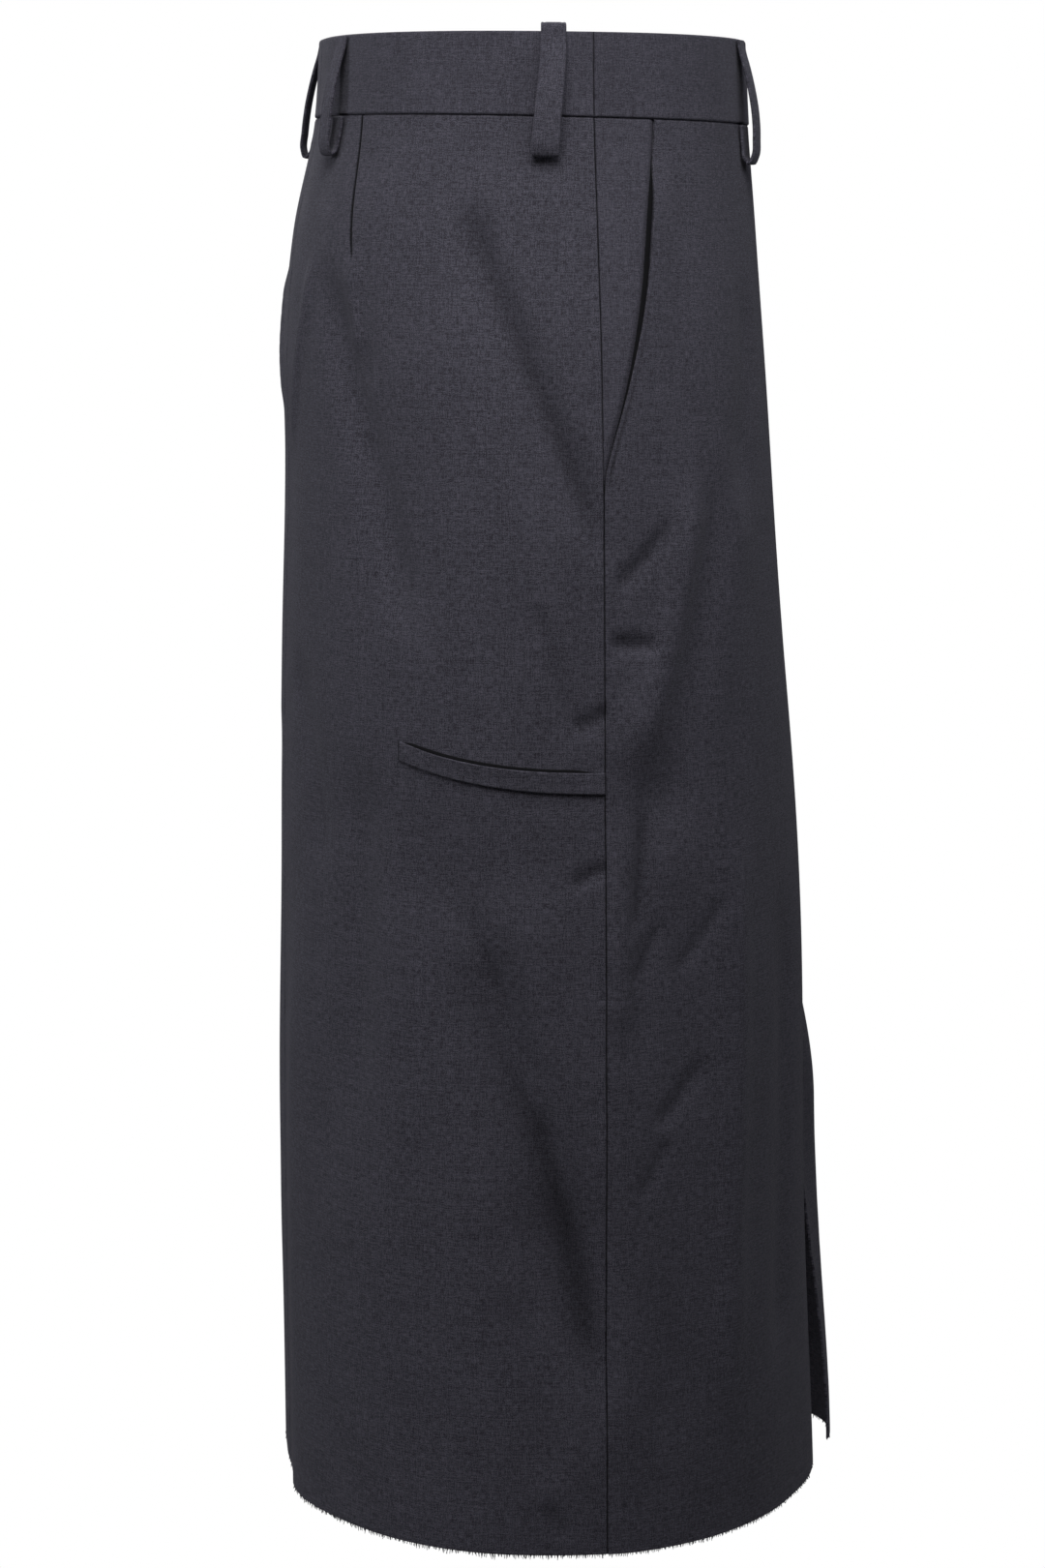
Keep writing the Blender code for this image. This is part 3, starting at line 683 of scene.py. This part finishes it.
def back_panel(side, material):
    """A back panel, whose grid has extra columns at the dart's offsets, so that the dart stays crisp.

    A column's mark is its share of the way from the side seam to the dart, then 1 for the dart's first offset,
    2 for the next and so on, and after the last one the next whole number plus a share of the way to the
    centre back.
    """
    sizes = bpy.context.scene.skirt_sizes
    offsets = girth_share(np.array(DART_OFFSETS))
    before = lines(BEFORE_DART, PANEL_SPACING)
    before = before[: np.searchsorted(before, 1 - 1e-9 - EDGE_LINES[-1] / BEFORE_DART)]
    after = lines(AFTER_DART, PANEL_SPACING)
    after = after[np.searchsorted(after, EDGE_LINES[-1] / AFTER_DART + 1e-9) :]
    marks = np.concatenate([before, 1 + np.arange(len(offsets)), len(offsets) + 1 + after])
    columns = np.linspace(0, 1, len(marks))

    def place(across, down, lift):
        height = between(PANEL_TOP, HEM, down)
        share = np.clip((PANEL_TOP - height) / (PANEL_TOP - DART_END), 0, 1)
        dart = between(DART_TOP_AROUND, DART_END_AROUND, share)
        mark = marks[np.rint(across * (len(marks) - 1)).astype(int)]
        near = offsets[np.clip(np.rint(mark - 1), 0, len(offsets) - 1).astype(int)]
        ahead = (dart + offsets[0]) * mark
        astern = between(dart + offsets[-1], -1.0, mark - len(offsets) - 1)
        around = np.where(mark < 1, ahead, np.where(mark > len(offsets), astern, dart + near))
        from_dart = (around - dart) * QUARTER_GIRTH
        reach = smooth((height - DART_END) / DART_FADE)
        edges = (-around * QUARTER_GIRTH, (1 + around) * QUARTER_GIRTH, PANEL_TOP - height, height - HEM)
        sewn = (True, True, True, False)
        outer, inner = edge_lifts(edges, sewn, sizes.cloth)
        groove = DART_DEPTH * reach * bell(from_dart, DART_WIDTH)
        lift = np.where(lift > -sizes.cloth / 2, outer, inner) - groove
        # Painted shade: along the sewn edges, along the dart, and in the creases
        sunk = np.maximum(seam_shade(edges, sewn), reach * bell(from_dart, DART_SHADE_WIDTH))
        sunk = np.maximum(sunk, hollow_shade(side, around, height))
        return lifted(side, around, tucked(height), lift), on_cloth(side, around, height), sunk

    word = SIDE_NAMES[side]
    panel = cloth_sheet(
        f"back_cloth_{word}", f"back_panel_{word}", material, BACK_GRID, place, sizes.cloth, columns=columns
    )


def waistband(material):
    sizes = bpy.context.scene.skirt_sizes
    sewn = {"seams": "se", "shade": BAND_SEAM_SHADE}

    def place_front(across, down, lift):
        side = np.where(across < 0.5, RIGHT, LEFT)
        around = 1 - np.abs(1 - 2 * across)
        height = between(BAND_TOP, BAND_LOW, down)
        return lifted(side, around, height, lift + BAND_PROUD), on_cloth(1, (around - 2) * side, height)

    def place_back(side, across, down, lift):
        height = between(BAND_TOP, BAND_LOW, down)
        return lifted(side, -across, height, lift + BAND_PROUD), on_cloth(side, -across, height)

    front = cloth_sheet(
        "band_cloth_front", "waistband_front", material, BAND_FRONT_GRID, place_front, sizes.band, **sewn
    )
    for side, word in SIDE_NAMES.items():
        name, node, place = f"band_cloth_back_{word}", f"waistband_back_{word}", partial(place_back, side)
        back = cloth_sheet(name, node, material, BAND_BACK_GRID, place, sizes.band, **sewn)


def loop_path(knots, share):
    """(lift, height) at a share of the way along a belt loop's strip."""
    run = np.concatenate([[0], np.cumsum(np.hypot(*np.diff(knots, axis=0).T))])
    return smooth_curve(run, knots, share * run[-1])


def belt_loop(loop, material):
    sizes = bpy.context.scene.skirt_sizes
    knots = np.array(LOOP_OVER_TOP + LOOP_FALL if loop.name == "side" else LOOP_FALL)
    length = np.hypot(*np.diff(knots, axis=0).T).sum()
    ends = outer_face(loop.side, np.array([loop.around, loop.around + STEP]), np.zeros(2))
    share_of_width = LOOP_WIDTH * STEP / np.linalg.norm(ends[1] - ends[0])

    def place(across, down, lift):
        run = loop_path(knots, down + STEP) - loop_path(knots, down - STEP)
        square = np.stack([-run[:, 1], run[:, 0]], axis=1) / np.hypot(*run.T)[:, None]
        groove = LOOP_GROOVE * bell(np.abs(across - 0.5) - LOOP_GROOVE_AT, LOOP_GROOVE_WIDTH)
        path = loop_path(knots, down) + (lift - groove + sizes.loop / 2)[:, None] * square
        fallen = smooth((BAND_TOP - path[:, 1]) / (BAND_TOP - LOOP_FOOT))
        around = loop.around + loop.lean * fallen + (across - 0.5) * share_of_width
        in_cloth = ((across - 0.5) * LOOP_WIDTH + 3 * loop.around, down * length + loop.side)
        return lifted(loop.side, around, path[:, 1], path[:, 0]), np.stack(in_cloth, axis=1)

    word = f"{loop.name}_{SIDE_NAMES[loop.side]}"
    grid = Grid(LOOP_WIDTH, length, *LOOP_SPACING)
    strip = cloth_sheet(f"loop_cloth_{word}", f"loop_{word}", material, grid, place, sizes.loop)


def facing_lift(around, height, wall):
    """The facing carries on from the back panel at the side seam and sinks under the front at the mouth."""
    mouth = mouth_around(height) * QUARTER_GIRTH
    from_seam = around * QUARTER_GIRTH
    sunk = smooth((from_seam - mouth + FACING_DIP) / FACING_DIP)
    return -(wall + UNDERLAP) * np.maximum(sunk, 1 - smooth(mouth / FACING_TIP))


def painted_shade_sheet(name, node, grid, place):
    """A near-black sheet of painted shade, standing in for the shadowed inside of a pocket seen through its
    mouth.
    """
    cloth_sheet(name, node, shared_material("pocket_shade"), grid, place, SHADE_SHEET_WALL)


def pocket(side, wool, pocketing):
    sizes = bpy.context.scene.skirt_sizes
    word = SIDE_NAMES[side]
    node = f"pocket_facing_{word}"

    def place_facing(across, down, lift):
        height = between(PANEL_TOP, FACING_END, down)
        around = (mouth_around(height) + girth_share(FACING_UNDER)) * across
        lift = lift + facing_lift(around, height, sizes.cloth)
        return lifted(side, around, tucked(height), lift), on_cloth(side, around + 2, height)

    def place_shade_sheet(across, down, lift):
        height = between(MOUTH_TOP, MOUTH[0].height - MOUTH_SHADE_LAP, down)
        reach = between(-MOUTH_SHADE_BEFORE, MOUTH_OPEN * mouth_open(height) + MOUTH_SHADE_BEYOND, across)
        around = mouth_around(height) + girth_share(reach)
        lift = lift - sizes.cloth - UNDERLAP + MOUTH_SHADE_PROUD
        return lifted(side, around, height, lift), on_cloth(side, around, height)

    def place_bag(across, down, lift):
        height = between(BAG_TOP, BAG_END, down)
        width = BAG_WIDTH * (1 - BAG_NARROWING * down**3)
        around = girth_share(BAG_FROM_SEAM + width * across)
        lift = lift - 2 * sizes.cloth - UNDERLAP - CLEARANCE
        return lifted(side, around, height, lift), on_cloth(side, around, height)

    name = f"facing_cloth_{word}"
    facing = cloth_sheet(name, node, wool, FACING_GRID, place_facing, sizes.cloth, seams="st")
    painted_shade_sheet(f"mouth_inside_{word}", node, MOUTH_SHADE_GRID, place_shade_sheet)
    node = f"pocket_bag_{word}"
    bag = cloth_sheet(f"bag_cloth_{word}", node, pocketing, BAG_GRID, place_bag, sizes.pocketing)


def welt_height(share):
    """The middle of the welt and its width, at a share of the way from the side seam to its free end."""
    return WELT_HEIGHT + WELT_CLIMB * share**WELT_CURVE, between(WELT_SEAM_WIDTH, WELT_END_WIDTH, share)


def welt_pocket(side, wool, pocketing):
    sizes = bpy.context.scene.skirt_sizes
    word = SIDE_NAMES[side]
    node = f"welt_{word}"

    def place_welt(across, down, lift):
        around = -WELT_REACH * across
        middle, width = welt_height(across)
        height = middle + width * (0.5 - down)
        opens = smooth((across - WELT_GAPE_FROM) / WELT_GAPE_RISE)
        shuts = smooth((WELT_GAPE_TO - across) / WELT_GAPE_FALL)
        gape = WELT_GAPE * opens * shuts * (1 - down) ** 2
        # Painted shade: along the welt's sewn edge and at its free end
        end_shade = WELT_END_SHADE * bell((1 - across) * WELT_LENGTH, WELT_END_SHADE_WIDTH)
        sunk = np.maximum(seam_shade((across * WELT_LENGTH,), (True,)), end_shade)
        lift = lift + sizes.welt + CLEARANCE + gape
        return lifted(side, around, height, lift), on_cloth(side, around - 2, height), sunk

    def place_shade_sheet(across, down, lift):
        share = between(WELT_SHADE_FROM, WELT_SHADE_TO, across)
        around = -share * WELT_REACH
        middle, width = welt_height(share)
        stands_open = WELT_OPEN * smooth(across / WELT_OPEN_RISE) * smooth((1 - across) / WELT_OPEN_FALL)
        height = middle + width / 2 + between(stands_open, -WELT_SHADE_LAP, down)
        return lifted(side, around, height, lift + WELT_SHADE_PROUD), on_cloth(side, around, height)

    def place_bag(across, down, lift):
        around = -between(WELT_BAG_FROM, WELT_BAG_TO, across)
        height = between(WELT_HEIGHT + WELT_CLIMB, WELT_BAG_END, down)
        return lifted(side, around, height, lift - sizes.cloth - UNDERLAP), on_cloth(side, around, height)

    welt = cloth_sheet(f"welt_cloth_{word}", node, wool, WELT_GRID, place_welt, sizes.welt, seams="s")
    painted_shade_sheet(f"welt_inside_{word}", node, WELT_SHADE_GRID, place_shade_sheet)
    node = f"welt_bag_{word}"
    bag = cloth_sheet(f"welt_bag_cloth_{word}", node, pocketing, WELT_BAG_GRID, place_bag, sizes.pocketing)


def zip_tape(material):
    sizes = bpy.context.scene.skirt_sizes

    def place(across, down, lift):
        side = np.where(across < 0.5, RIGHT, LEFT)
        from_middle = (across - 0.5) * ZIP_WIDTH
        around = girth_share(np.abs(from_middle)) - 1
        height = between(ZIP_TOP, ZIP_END, down)
        coil = ZIP_COIL * bell(from_middle, ZIP_COIL_WIDTH) * (lift < -ZIP_WALL / 2)
        lift = lift - sizes.band + BAND_PROUD - CLEARANCE - coil
        return lifted(side, around, height, lift), np.stack([from_middle, height], axis=1)

    tape = cloth_sheet("zip_tape_cloth", "back_zip", material, ZIP_GRID, place, ZIP_WALL)


def hem_fray(side, material):
    """Loose ends of the threads along the raw hem, in uneven tufts."""
    sizes = bpy.context.scene.skirt_sizes
    chance = np.random.default_rng(FRAY_SEED + side)
    slit_edge = 1 - girth_share(SLIT_OPEN[side])
    spots = []
    for end in (slit_edge, -1.0):
        count = int(abs(end) * QUARTER_GIRTH / FRAY_SPACING)
        spots.append(np.linspace(0.0, end, count + 2)[1:-1])
    around = np.concatenate(spots)
    around = around + chance.normal(0, girth_share(FRAY_SCATTER), len(around))
    around = np.clip(around, -1.0, slit_edge)
    short_wave, long_wave = TUFT_WAVES
    tuft = 0.5 + 0.5 * np.sin(around * short_wave + TUFT_START) * np.sin(around * long_wave + side)
    tuft = tuft * between(FRAY_SPARSE, 1.0, bell(around - FRAY_MIDDLE, FRAY_REACH))
    tufted = FRAY_TUFTED * tuft * chance.random(len(around))
    stray = FRAY_STRAY * chance.random(len(around)) ** 3
    length = sizes.fray * (FRAY_ALL + tufted + stray) + FRAY_ROOT
    root = lifted(side, around, HEM + FRAY_ROOT, -sizes.cloth / 2)
    lean = chance.normal(0, FRAY_LEAN, (len(around), 2))
    builder = bmesh.new()
    for place, long, tip in zip(root, length, lean):
        radii = {"radius1": FRAY_TIP_RADIUS, "radius2": FRAY_ROOT_RADIUS}
        made = bmesh.ops.create_cone(builder, cap_ends=True, segments=4, depth=long, **radii)
        turn = Matrix.Rotation(tip[0], 4, "X") @ Matrix.Rotation(tip[1], 4, "Y")
        drop = Matrix.Translation((0, 0, -long / 2))
        hang = Matrix.Translation(Vector(place)) @ turn @ drop
        bmesh.ops.transform(builder, matrix=hang, verts=made["verts"])
    name = f"hem_fray_{SIDE_NAMES[side]}"
    piece = shade_and_link(mesh_of(builder, name), name, material)
    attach(piece, "root")


def set_inputs(tree, node, given):
    """Sets inputs of a node, each to a value or to the output of another node."""
    for label, value in given.items():
        if isinstance(value, bpy.types.NodeSocket):
            tree.links.new(value, node.inputs[label])
        else:
            node.inputs[label].default_value = value


def add_node(tree, kind, given=None, **settings):
    """A new node with its settings and then its inputs, because the settings decide which inputs it has."""
    node = tree.nodes.new(kind)
    for key, value in settings.items():
        setattr(node, key, value)
    set_inputs(tree, node, given or {})
    return node


def add_sockets(group, way, kinds):
    for label, kind in kinds.items():
        group.interface.new_socket(name=label, in_out=way, socket_type=f"NodeSocket{kind}")


def heathered_weave():
    """Colour, height and roughness of a plain weave whose threads are spun from light and dark fibres."""
    name = "heathered_weave"
    if name in bpy.data.node_groups:
        return bpy.data.node_groups[name]
    group = bpy.data.node_groups.new(name, "ShaderNodeTree")
    colours = dict.fromkeys(("Main", "Light", "Dark"), "Color")
    numbers = dict.fromkeys(("Thread", "Contrast", "Sunk"), "Float")
    add_sockets(group, "INPUT", {"Place": "Vector", **colours, **numbers})
    add_sockets(group, "OUTPUT", {"Colour": "Color", "Height": "Float", "Roughness": "Float"})
    given = group.nodes.new("NodeGroupInput").outputs

    def maths(operation, first, second):
        return add_node(group, "ShaderNodeMath", {0: first, 1: second}, operation=operation).outputs[0]

    def weighted(first, first_share, second, second_share):
        return maths("ADD", maths("MULTIPLY", first, first_share), maths("MULTIPLY", second, second_share))

    def vector_maths(operation, vector, other):
        inputs = {0: vector, 1: other}
        return add_node(group, "ShaderNodeVectorMath", inputs, operation=operation).outputs[0]

    def noise(across, down, detail=1.0, rough=0.5):
        """Noise on the threads; a low number across or down draws its streaks out that way."""
        vector = vector_maths("MULTIPLY", threads, (across, down, 1.0))
        inputs = {"Vector": vector, "Scale": 1.0, "Detail": detail, "Roughness": rough}
        return add_node(group, "ShaderNodeTexNoise", inputs, noise_dimensions="2D").outputs["Fac"]

    def mapped(value, low, high, new_low=0.0, new_high=1.0):
        inputs = {"Value": value, "From Min": low, "From Max": high, "To Min": new_low, "To Max": new_high}
        return add_node(group, "ShaderNodeMapRange", inputs, interpolation_type="SMOOTHSTEP").outputs[0]

    def mix(share, first, second):
        inputs = {"Factor": share, "A": first, "B": second}
        return add_node(group, "ShaderNodeMix", inputs, data_type="RGBA").outputs["Result"]

    threads = vector_maths("DIVIDE", given["Place"], given["Thread"])
    warp, weft = noise(1.00, 0.13), noise(0.12, 1.00)
    fine = noise(1.3, 1.1, 2.0, 0.80)
    fleck = noise(0.95, 0.40, 0.0)
    cloud = noise(0.022, 0.014, 2.0)
    slub_down, slub_across = noise(0.60, 0.016, 0.0), noise(0.014, 0.60, 0.0)
    streaks = maths("ADD", weighted(warp, 0.40, weft, 0.40), weighted(slub_down, 0.09, slub_across, 0.11))
    streaks = weighted(streaks, 0.45, fine, 0.60)
    centred = maths("MULTIPLY", maths("SUBTRACT", streaks, WEAVE_MIDDLE), given["Contrast"])
    centred = maths("ADD", centred, maths("MULTIPLY", maths("SUBTRACT", cloud, 0.5), CLOUD_SHARE))
    light = mapped(centred, 0.0, FIBRE_SPREAD)
    dark = mapped(maths("MULTIPLY", centred, -1.0), 0.0, FIBRE_SPREAD)
    pale = mapped(fleck, *FLECKS)
    colour = mix(dark, mix(light, given["Main"], given["Light"]), given["Dark"])
    colour = mix(pale, colour, given["Light"])
    # Painted shade: the colour is scaled down by the piece's painted shade in seams, stitching and creases
    inputs = {0: colour, "Scale": mapped(given["Sunk"], *PAINTED_SHADE_TO_BRIGHTNESS)}
    shaded = add_node(group, "ShaderNodeVectorMath", inputs, operation="SCALE").outputs[0]
    results = {
        "Colour": shaded,
        "Height": weighted(fine, 0.5, streaks, 0.5),
        "Roughness": mapped(fine, *FINE_TO_ROUGHNESS),
    }
    set_inputs(group, group.nodes.new("NodeGroupOutput"), results)
    return group


def cloth_finish(name, colours, thread, contrast, bump, sheen):
    """A woven cloth's material, on the piece's own flat cloth coordinates."""
    material = bpy.data.materials.new(name)
    material.use_nodes = True
    tree = material.node_tree
    inputs = {label: (*colour, 1.0) for label, colour in zip(("Main", "Light", "Dark"), colours)}
    inputs |= {"Thread": thread, "Contrast": contrast}
    inputs["Place"] = add_node(tree, "ShaderNodeUVMap", uv_map=UV_NAME).outputs["UV"]
    # The painted shade kept on the piece's mesh, which darkens the weave's colour
    inputs["Sunk"] = add_node(tree, "ShaderNodeAttribute", attribute_name=PAINTED_SHADE_ATTRIBUTE).outputs["Fac"]
    weave = add_node(tree, "ShaderNodeGroup", inputs, node_tree=heathered_weave()).outputs
    relief = {"Strength": bump, "Distance": WEAVE_RELIEF, "Height": weave["Height"]}
    finish = {
        "Base Color": weave["Colour"],
        "Roughness": weave["Roughness"],
        "Normal": add_node(tree, "ShaderNodeBump", relief).outputs["Normal"],
        "Specular IOR Level": 0.22,
        "Sheen Weight": sheen,
        "Sheen Roughness": 0.45,
        "Sheen Tint": (0.82, 0.82, 0.95, 1.0),
    }
    set_inputs(tree, tree.nodes["Principled BSDF"], finish)
    return material


def dyed(colour, share):
    return [value * share for value in colour]


def shared_material(name):
    """The named finish, made on first use."""
    if name in bpy.data.materials:
        return bpy.data.materials[name]
    colours, thread = bpy.context.scene.skirt_colours, bpy.context.scene.skirt_sizes.thread
    wool = (colours.wool, colours.light_fibre, colours.dark_fibre)
    cotton, shade, tape = colours.pocketing, colours.shade, colours.tape
    # Each finish: its colours, width of a thread, contrast, bump and sheen
    finishes = {
        "charcoal_wool": (wool, thread, 1.40, 0.60, 0.10),
        "charcoal_band_wool": ([dyed(colour, 1.04) for colour in wool], thread, 1.0, 0.55, 0.12),
        "pocket_cotton": ((cotton, dyed(cotton, 1.5), dyed(cotton, 0.6)), 0.0004, 0.6, 0.3, 0.0),
        # pocket_shade paints shade: the near-black sheets in the pockets' mouths
        "pocket_shade": ((shade, shade, dyed(shade, 0.5)), thread, 0.5, 0.2, 0.0),
        "zip_tape": ((tape, dyed(tape, 1.6), dyed(tape, 0.6)), 0.0007, 0.8, 0.5, 0.0),
    }
    return cloth_finish(name, *finishes[name])


FLOOR_HEIGHT, FLOOR_HALF_WIDTH = -1.15, 8.0
BACKDROP = (1.0, 1.0, 1.0, 1.0)
ROOM_LIGHT = 0.015


def show_backdrop(tree, kind, lighting, output):
    """Shows the camera the backdrop's white, and leaves the lighting to the other shader."""
    white = add_node(tree, kind, {"Color": BACKDROP, "Strength": 1.0})
    seen = add_node(tree, "ShaderNodeLightPath").outputs["Is Camera Ray"]
    either = add_node(tree, "ShaderNodeMixShader", {"Fac": seen, 1: lighting, 2: white.outputs[0]})
    set_inputs(tree, tree.nodes[output], {"Surface": either.outputs["Shader"]})


def floor_finish(colour):
    material = bpy.data.materials.new("studio_white")
    material.use_nodes = True
    tree = material.node_tree
    place = add_node(tree, "ShaderNodeTexCoord").outputs["Object"]
    grain = add_node(tree, "ShaderNodeTexNoise", {"Vector": place, "Scale": 3.0}).outputs["Fac"]
    rough = add_node(tree, "ShaderNodeMapRange", {"Value": grain, "To Min": 0.75, "To Max": 0.85})
    shader = tree.nodes["Principled BSDF"]
    set_inputs(tree, shader, {"Base Color": (*colour, 1.0), "Roughness": rough.outputs["Result"]})
    show_backdrop(tree, "ShaderNodeEmission", shader.outputs["BSDF"], "Material Output")
    return material


def studio_floor():
    """A flat pale floor, as white as the backdrop where the camera sees it."""
    builder = bmesh.new()
    bmesh.ops.create_grid(builder, x_segments=1, y_segments=1, size=FLOOR_HALF_WIDTH)
    bmesh.ops.translate(builder, verts=builder.verts[:], vec=(0.0, 0.0, FLOOR_HEIGHT))
    mesh = mesh_of(builder, "studio_floor")
    mesh.materials.append(floor_finish(bpy.context.scene.skirt_colours.floor))
    floor = bpy.data.objects.new("studio_floor", mesh)
    bpy.context.scene.collection.objects.link(floor)


# Camera: it stands this far off, turned towards the back, and looks down a little
VIEW_TURN, VIEW_PITCH = radians(8.0), 0.12015
VIEW_DISTANCE, VIEW_SIDEWAYS, VIEW_HEIGHT = 2.559, -0.0037, -0.0735
SENSOR, FAR_CLIP = 36.0, 50.0
FOCAL_PIXELS, IMAGE_WIDTH = 4835.0, 1080.0

Light = namedtuple("Light", "name place size power colour")
LIGHTS = (
    Light("key", (-0.98, 0.20, 0.92), 1.20, 15.6, (1.0, 0.99, 0.98)),
    Light("fill", (-0.62, -0.70, 0.45), 0.50, 2.1, (0.97, 0.98, 1.0)),
    Light("behind", (-0.10, 1.90, 0.50), 0.80, 11.0, (0.97, 0.98, 1.0)),
    Light("before", (-0.05, -1.20, 1.15), 0.80, 1.6, (0.97, 0.98, 1.0)),
    Light("far_side", (1.15, 0.00, 0.75), 0.80, 11.0, (1.0, 0.99, 0.98)),
)
LIT_POINT = (0.0, 0.0, -0.30)


def studio_camera():
    into_picture = Vector((cos(VIEW_TURN), -sin(VIEW_TURN), 0.0))
    picture_right = Vector((-sin(VIEW_TURN), -cos(VIEW_TURN), 0.0))
    data = bpy.data.cameras.new("photo_view")
    data.sensor_fit = "HORIZONTAL"
    data.sensor_width = SENSOR
    data.lens = SENSOR * FOCAL_PIXELS / IMAGE_WIDTH
    data.clip_end = FAR_CLIP
    camera = bpy.data.objects.new("photo_view", data)
    beside = VIEW_SIDEWAYS * picture_right + Vector((0, 0, VIEW_HEIGHT))
    camera.location = beside - VIEW_DISTANCE * into_picture
    aim = cos(VIEW_PITCH) * into_picture - Vector((0, 0, sin(VIEW_PITCH)))
    camera.rotation_euler = aim.to_track_quat("-Z", "Y").to_euler()
    bpy.context.scene.collection.objects.link(camera)
    bpy.context.scene.camera = camera


def studio_lights():
    for row in LIGHTS:
        data = bpy.data.lights.new(row.name, "AREA")
        data.shape = "DISK"
        data.size = row.size
        data.energy = row.power
        data.color = row.colour
        lamp = bpy.data.objects.new(row.name, data)
        lamp.location = row.place
        towards = Vector(LIT_POINT) - Vector(row.place)
        lamp.rotation_euler = towards.to_track_quat("-Z", "Y").to_euler()
        bpy.context.scene.collection.objects.link(lamp)
    world = bpy.data.worlds.new("studio")
    world.use_nodes = True
    room = world.node_tree.nodes["Background"]
    set_inputs(world.node_tree, room, {"Color": BACKDROP, "Strength": ROOM_LIGHT})
    show_backdrop(world.node_tree, "ShaderNodeBackground", room.outputs["Background"], "World Output")
    bpy.context.scene.world = world
    bpy.context.scene.view_settings.view_transform = "Standard"


class SKIRT_OT_fronts(bpy.types.Operator):
    """Lay the two front panels, from the pocket mouths to the centre-front seam and the slit"""

    bl_idname = "skirt.fronts"
    bl_label = "Front panels"

    def execute(self, context):
        for side in SIDE_NAMES:
            front_panel(side, shared_material("charcoal_wool"))
        return {"FINISHED"}


class SKIRT_OT_backs(bpy.types.Operator):
    """Lay the two back panels with their darts"""

    bl_idname = "skirt.backs"
    bl_label = "Back panels"

    def execute(self, context):
        for side in SIDE_NAMES:
            back_panel(side, shared_material("charcoal_wool"))
        return {"FINISHED"}


class SKIRT_OT_waistband(bpy.types.Operator):
    """Lay the waistband, one piece at the front and two at the back"""

    bl_idname = "skirt.waistband"
    bl_label = "Waistband"

    def execute(self, context):
        waistband(shared_material("charcoal_band_wool"))
        return {"FINISHED"}


class SKIRT_OT_loops(bpy.types.Operator):
    """Hang the belt loops on the band"""

    bl_idname = "skirt.loops"
    bl_label = "Belt loops"

    def execute(self, context):
        for loop in LOOPS:
            belt_loop(loop, shared_material("charcoal_band_wool"))
        return {"FINISHED"}


class SKIRT_OT_pockets(bpy.types.Operator):
    """Lay the slash pockets' facings and bags"""

    bl_idname = "skirt.pockets"
    bl_label = "Slash pockets"

    def execute(self, context):
        for side in SIDE_NAMES:
            pocket(side, shared_material("charcoal_band_wool"), shared_material("pocket_cotton"))
        return {"FINISHED"}


class SKIRT_OT_welts(bpy.types.Operator):
    """Lay the welts of the low back pockets and their bags"""

    bl_idname = "skirt.welts"
    bl_label = "Welt pockets"

    def execute(self, context):
        for side in SIDE_NAMES:
            welt_pocket(side, shared_material("charcoal_wool"), shared_material("pocket_cotton"))
        return {"FINISHED"}


class SKIRT_OT_zip(bpy.types.Operator):
    """Lay the concealed zip's tape behind the centre-back seam"""

    bl_idname = "skirt.zip"
    bl_label = "Zip"

    def execute(self, context):
        zip_tape(shared_material("zip_tape"))
        return {"FINISHED"}


class SKIRT_OT_hem(bpy.types.Operator):
    """Fray the raw hem"""

    bl_idname = "skirt.hem"
    bl_label = "Frayed hem"

    def execute(self, context):
        for side in SIDE_NAMES:
            hem_fray(side, shared_material("charcoal_wool"))
        return {"FINISHED"}


class SKIRT_OT_stage(bpy.types.Operator):
    """Set up the floor, the lights and the camera"""

    bl_idname = "skirt.stage"
    bl_label = "Stage"

    def execute(self, context):
        studio_floor()
        studio_lights()
        studio_camera()
        return {"FINISHED"}


class SKIRT_PT_panel(bpy.types.Panel):
    bl_label = "Slit midi skirt"
    bl_idname = "SKIRT_PT_panel"
    bl_space_type = "VIEW_3D"
    bl_region_type = "UI"
    bl_category = "Skirt"

    def draw(self, context):
        for group in (context.scene.skirt_sizes, context.scene.skirt_colours):
            for key in group.__annotations__:
                self.layout.prop(group, key)
        for operator in OPERATORS:
            self.layout.operator(operator.bl_idname)


OPERATORS = (
    SKIRT_OT_fronts,
    SKIRT_OT_backs,
    SKIRT_OT_waistband,
    SKIRT_OT_loops,
    SKIRT_OT_pockets,
    SKIRT_OT_welts,
    SKIRT_OT_zip,
    SKIRT_OT_hem,
    SKIRT_OT_stage,
)
CLASSES = (SkirtSizes, SkirtColours, *OPERATORS, SKIRT_PT_panel)


def register():
    for item in CLASSES:
        bpy.utils.register_class(item)
    bpy.types.Scene.skirt_sizes = bpy.props.PointerProperty(type=SkirtSizes)
    bpy.types.Scene.skirt_colours = bpy.props.PointerProperty(type=SkirtColours)


def unregister():
    del bpy.types.Scene.skirt_colours
    del bpy.types.Scene.skirt_sizes
    for item in reversed(CLASSES):
        bpy.utils.unregister_class(item)


def main():
    register()
    for operator in OPERATORS:
        space, name = operator.bl_idname.split(".")
        getattr(getattr(bpy.ops, space), name)()


if __name__ == "__main__":
    main()
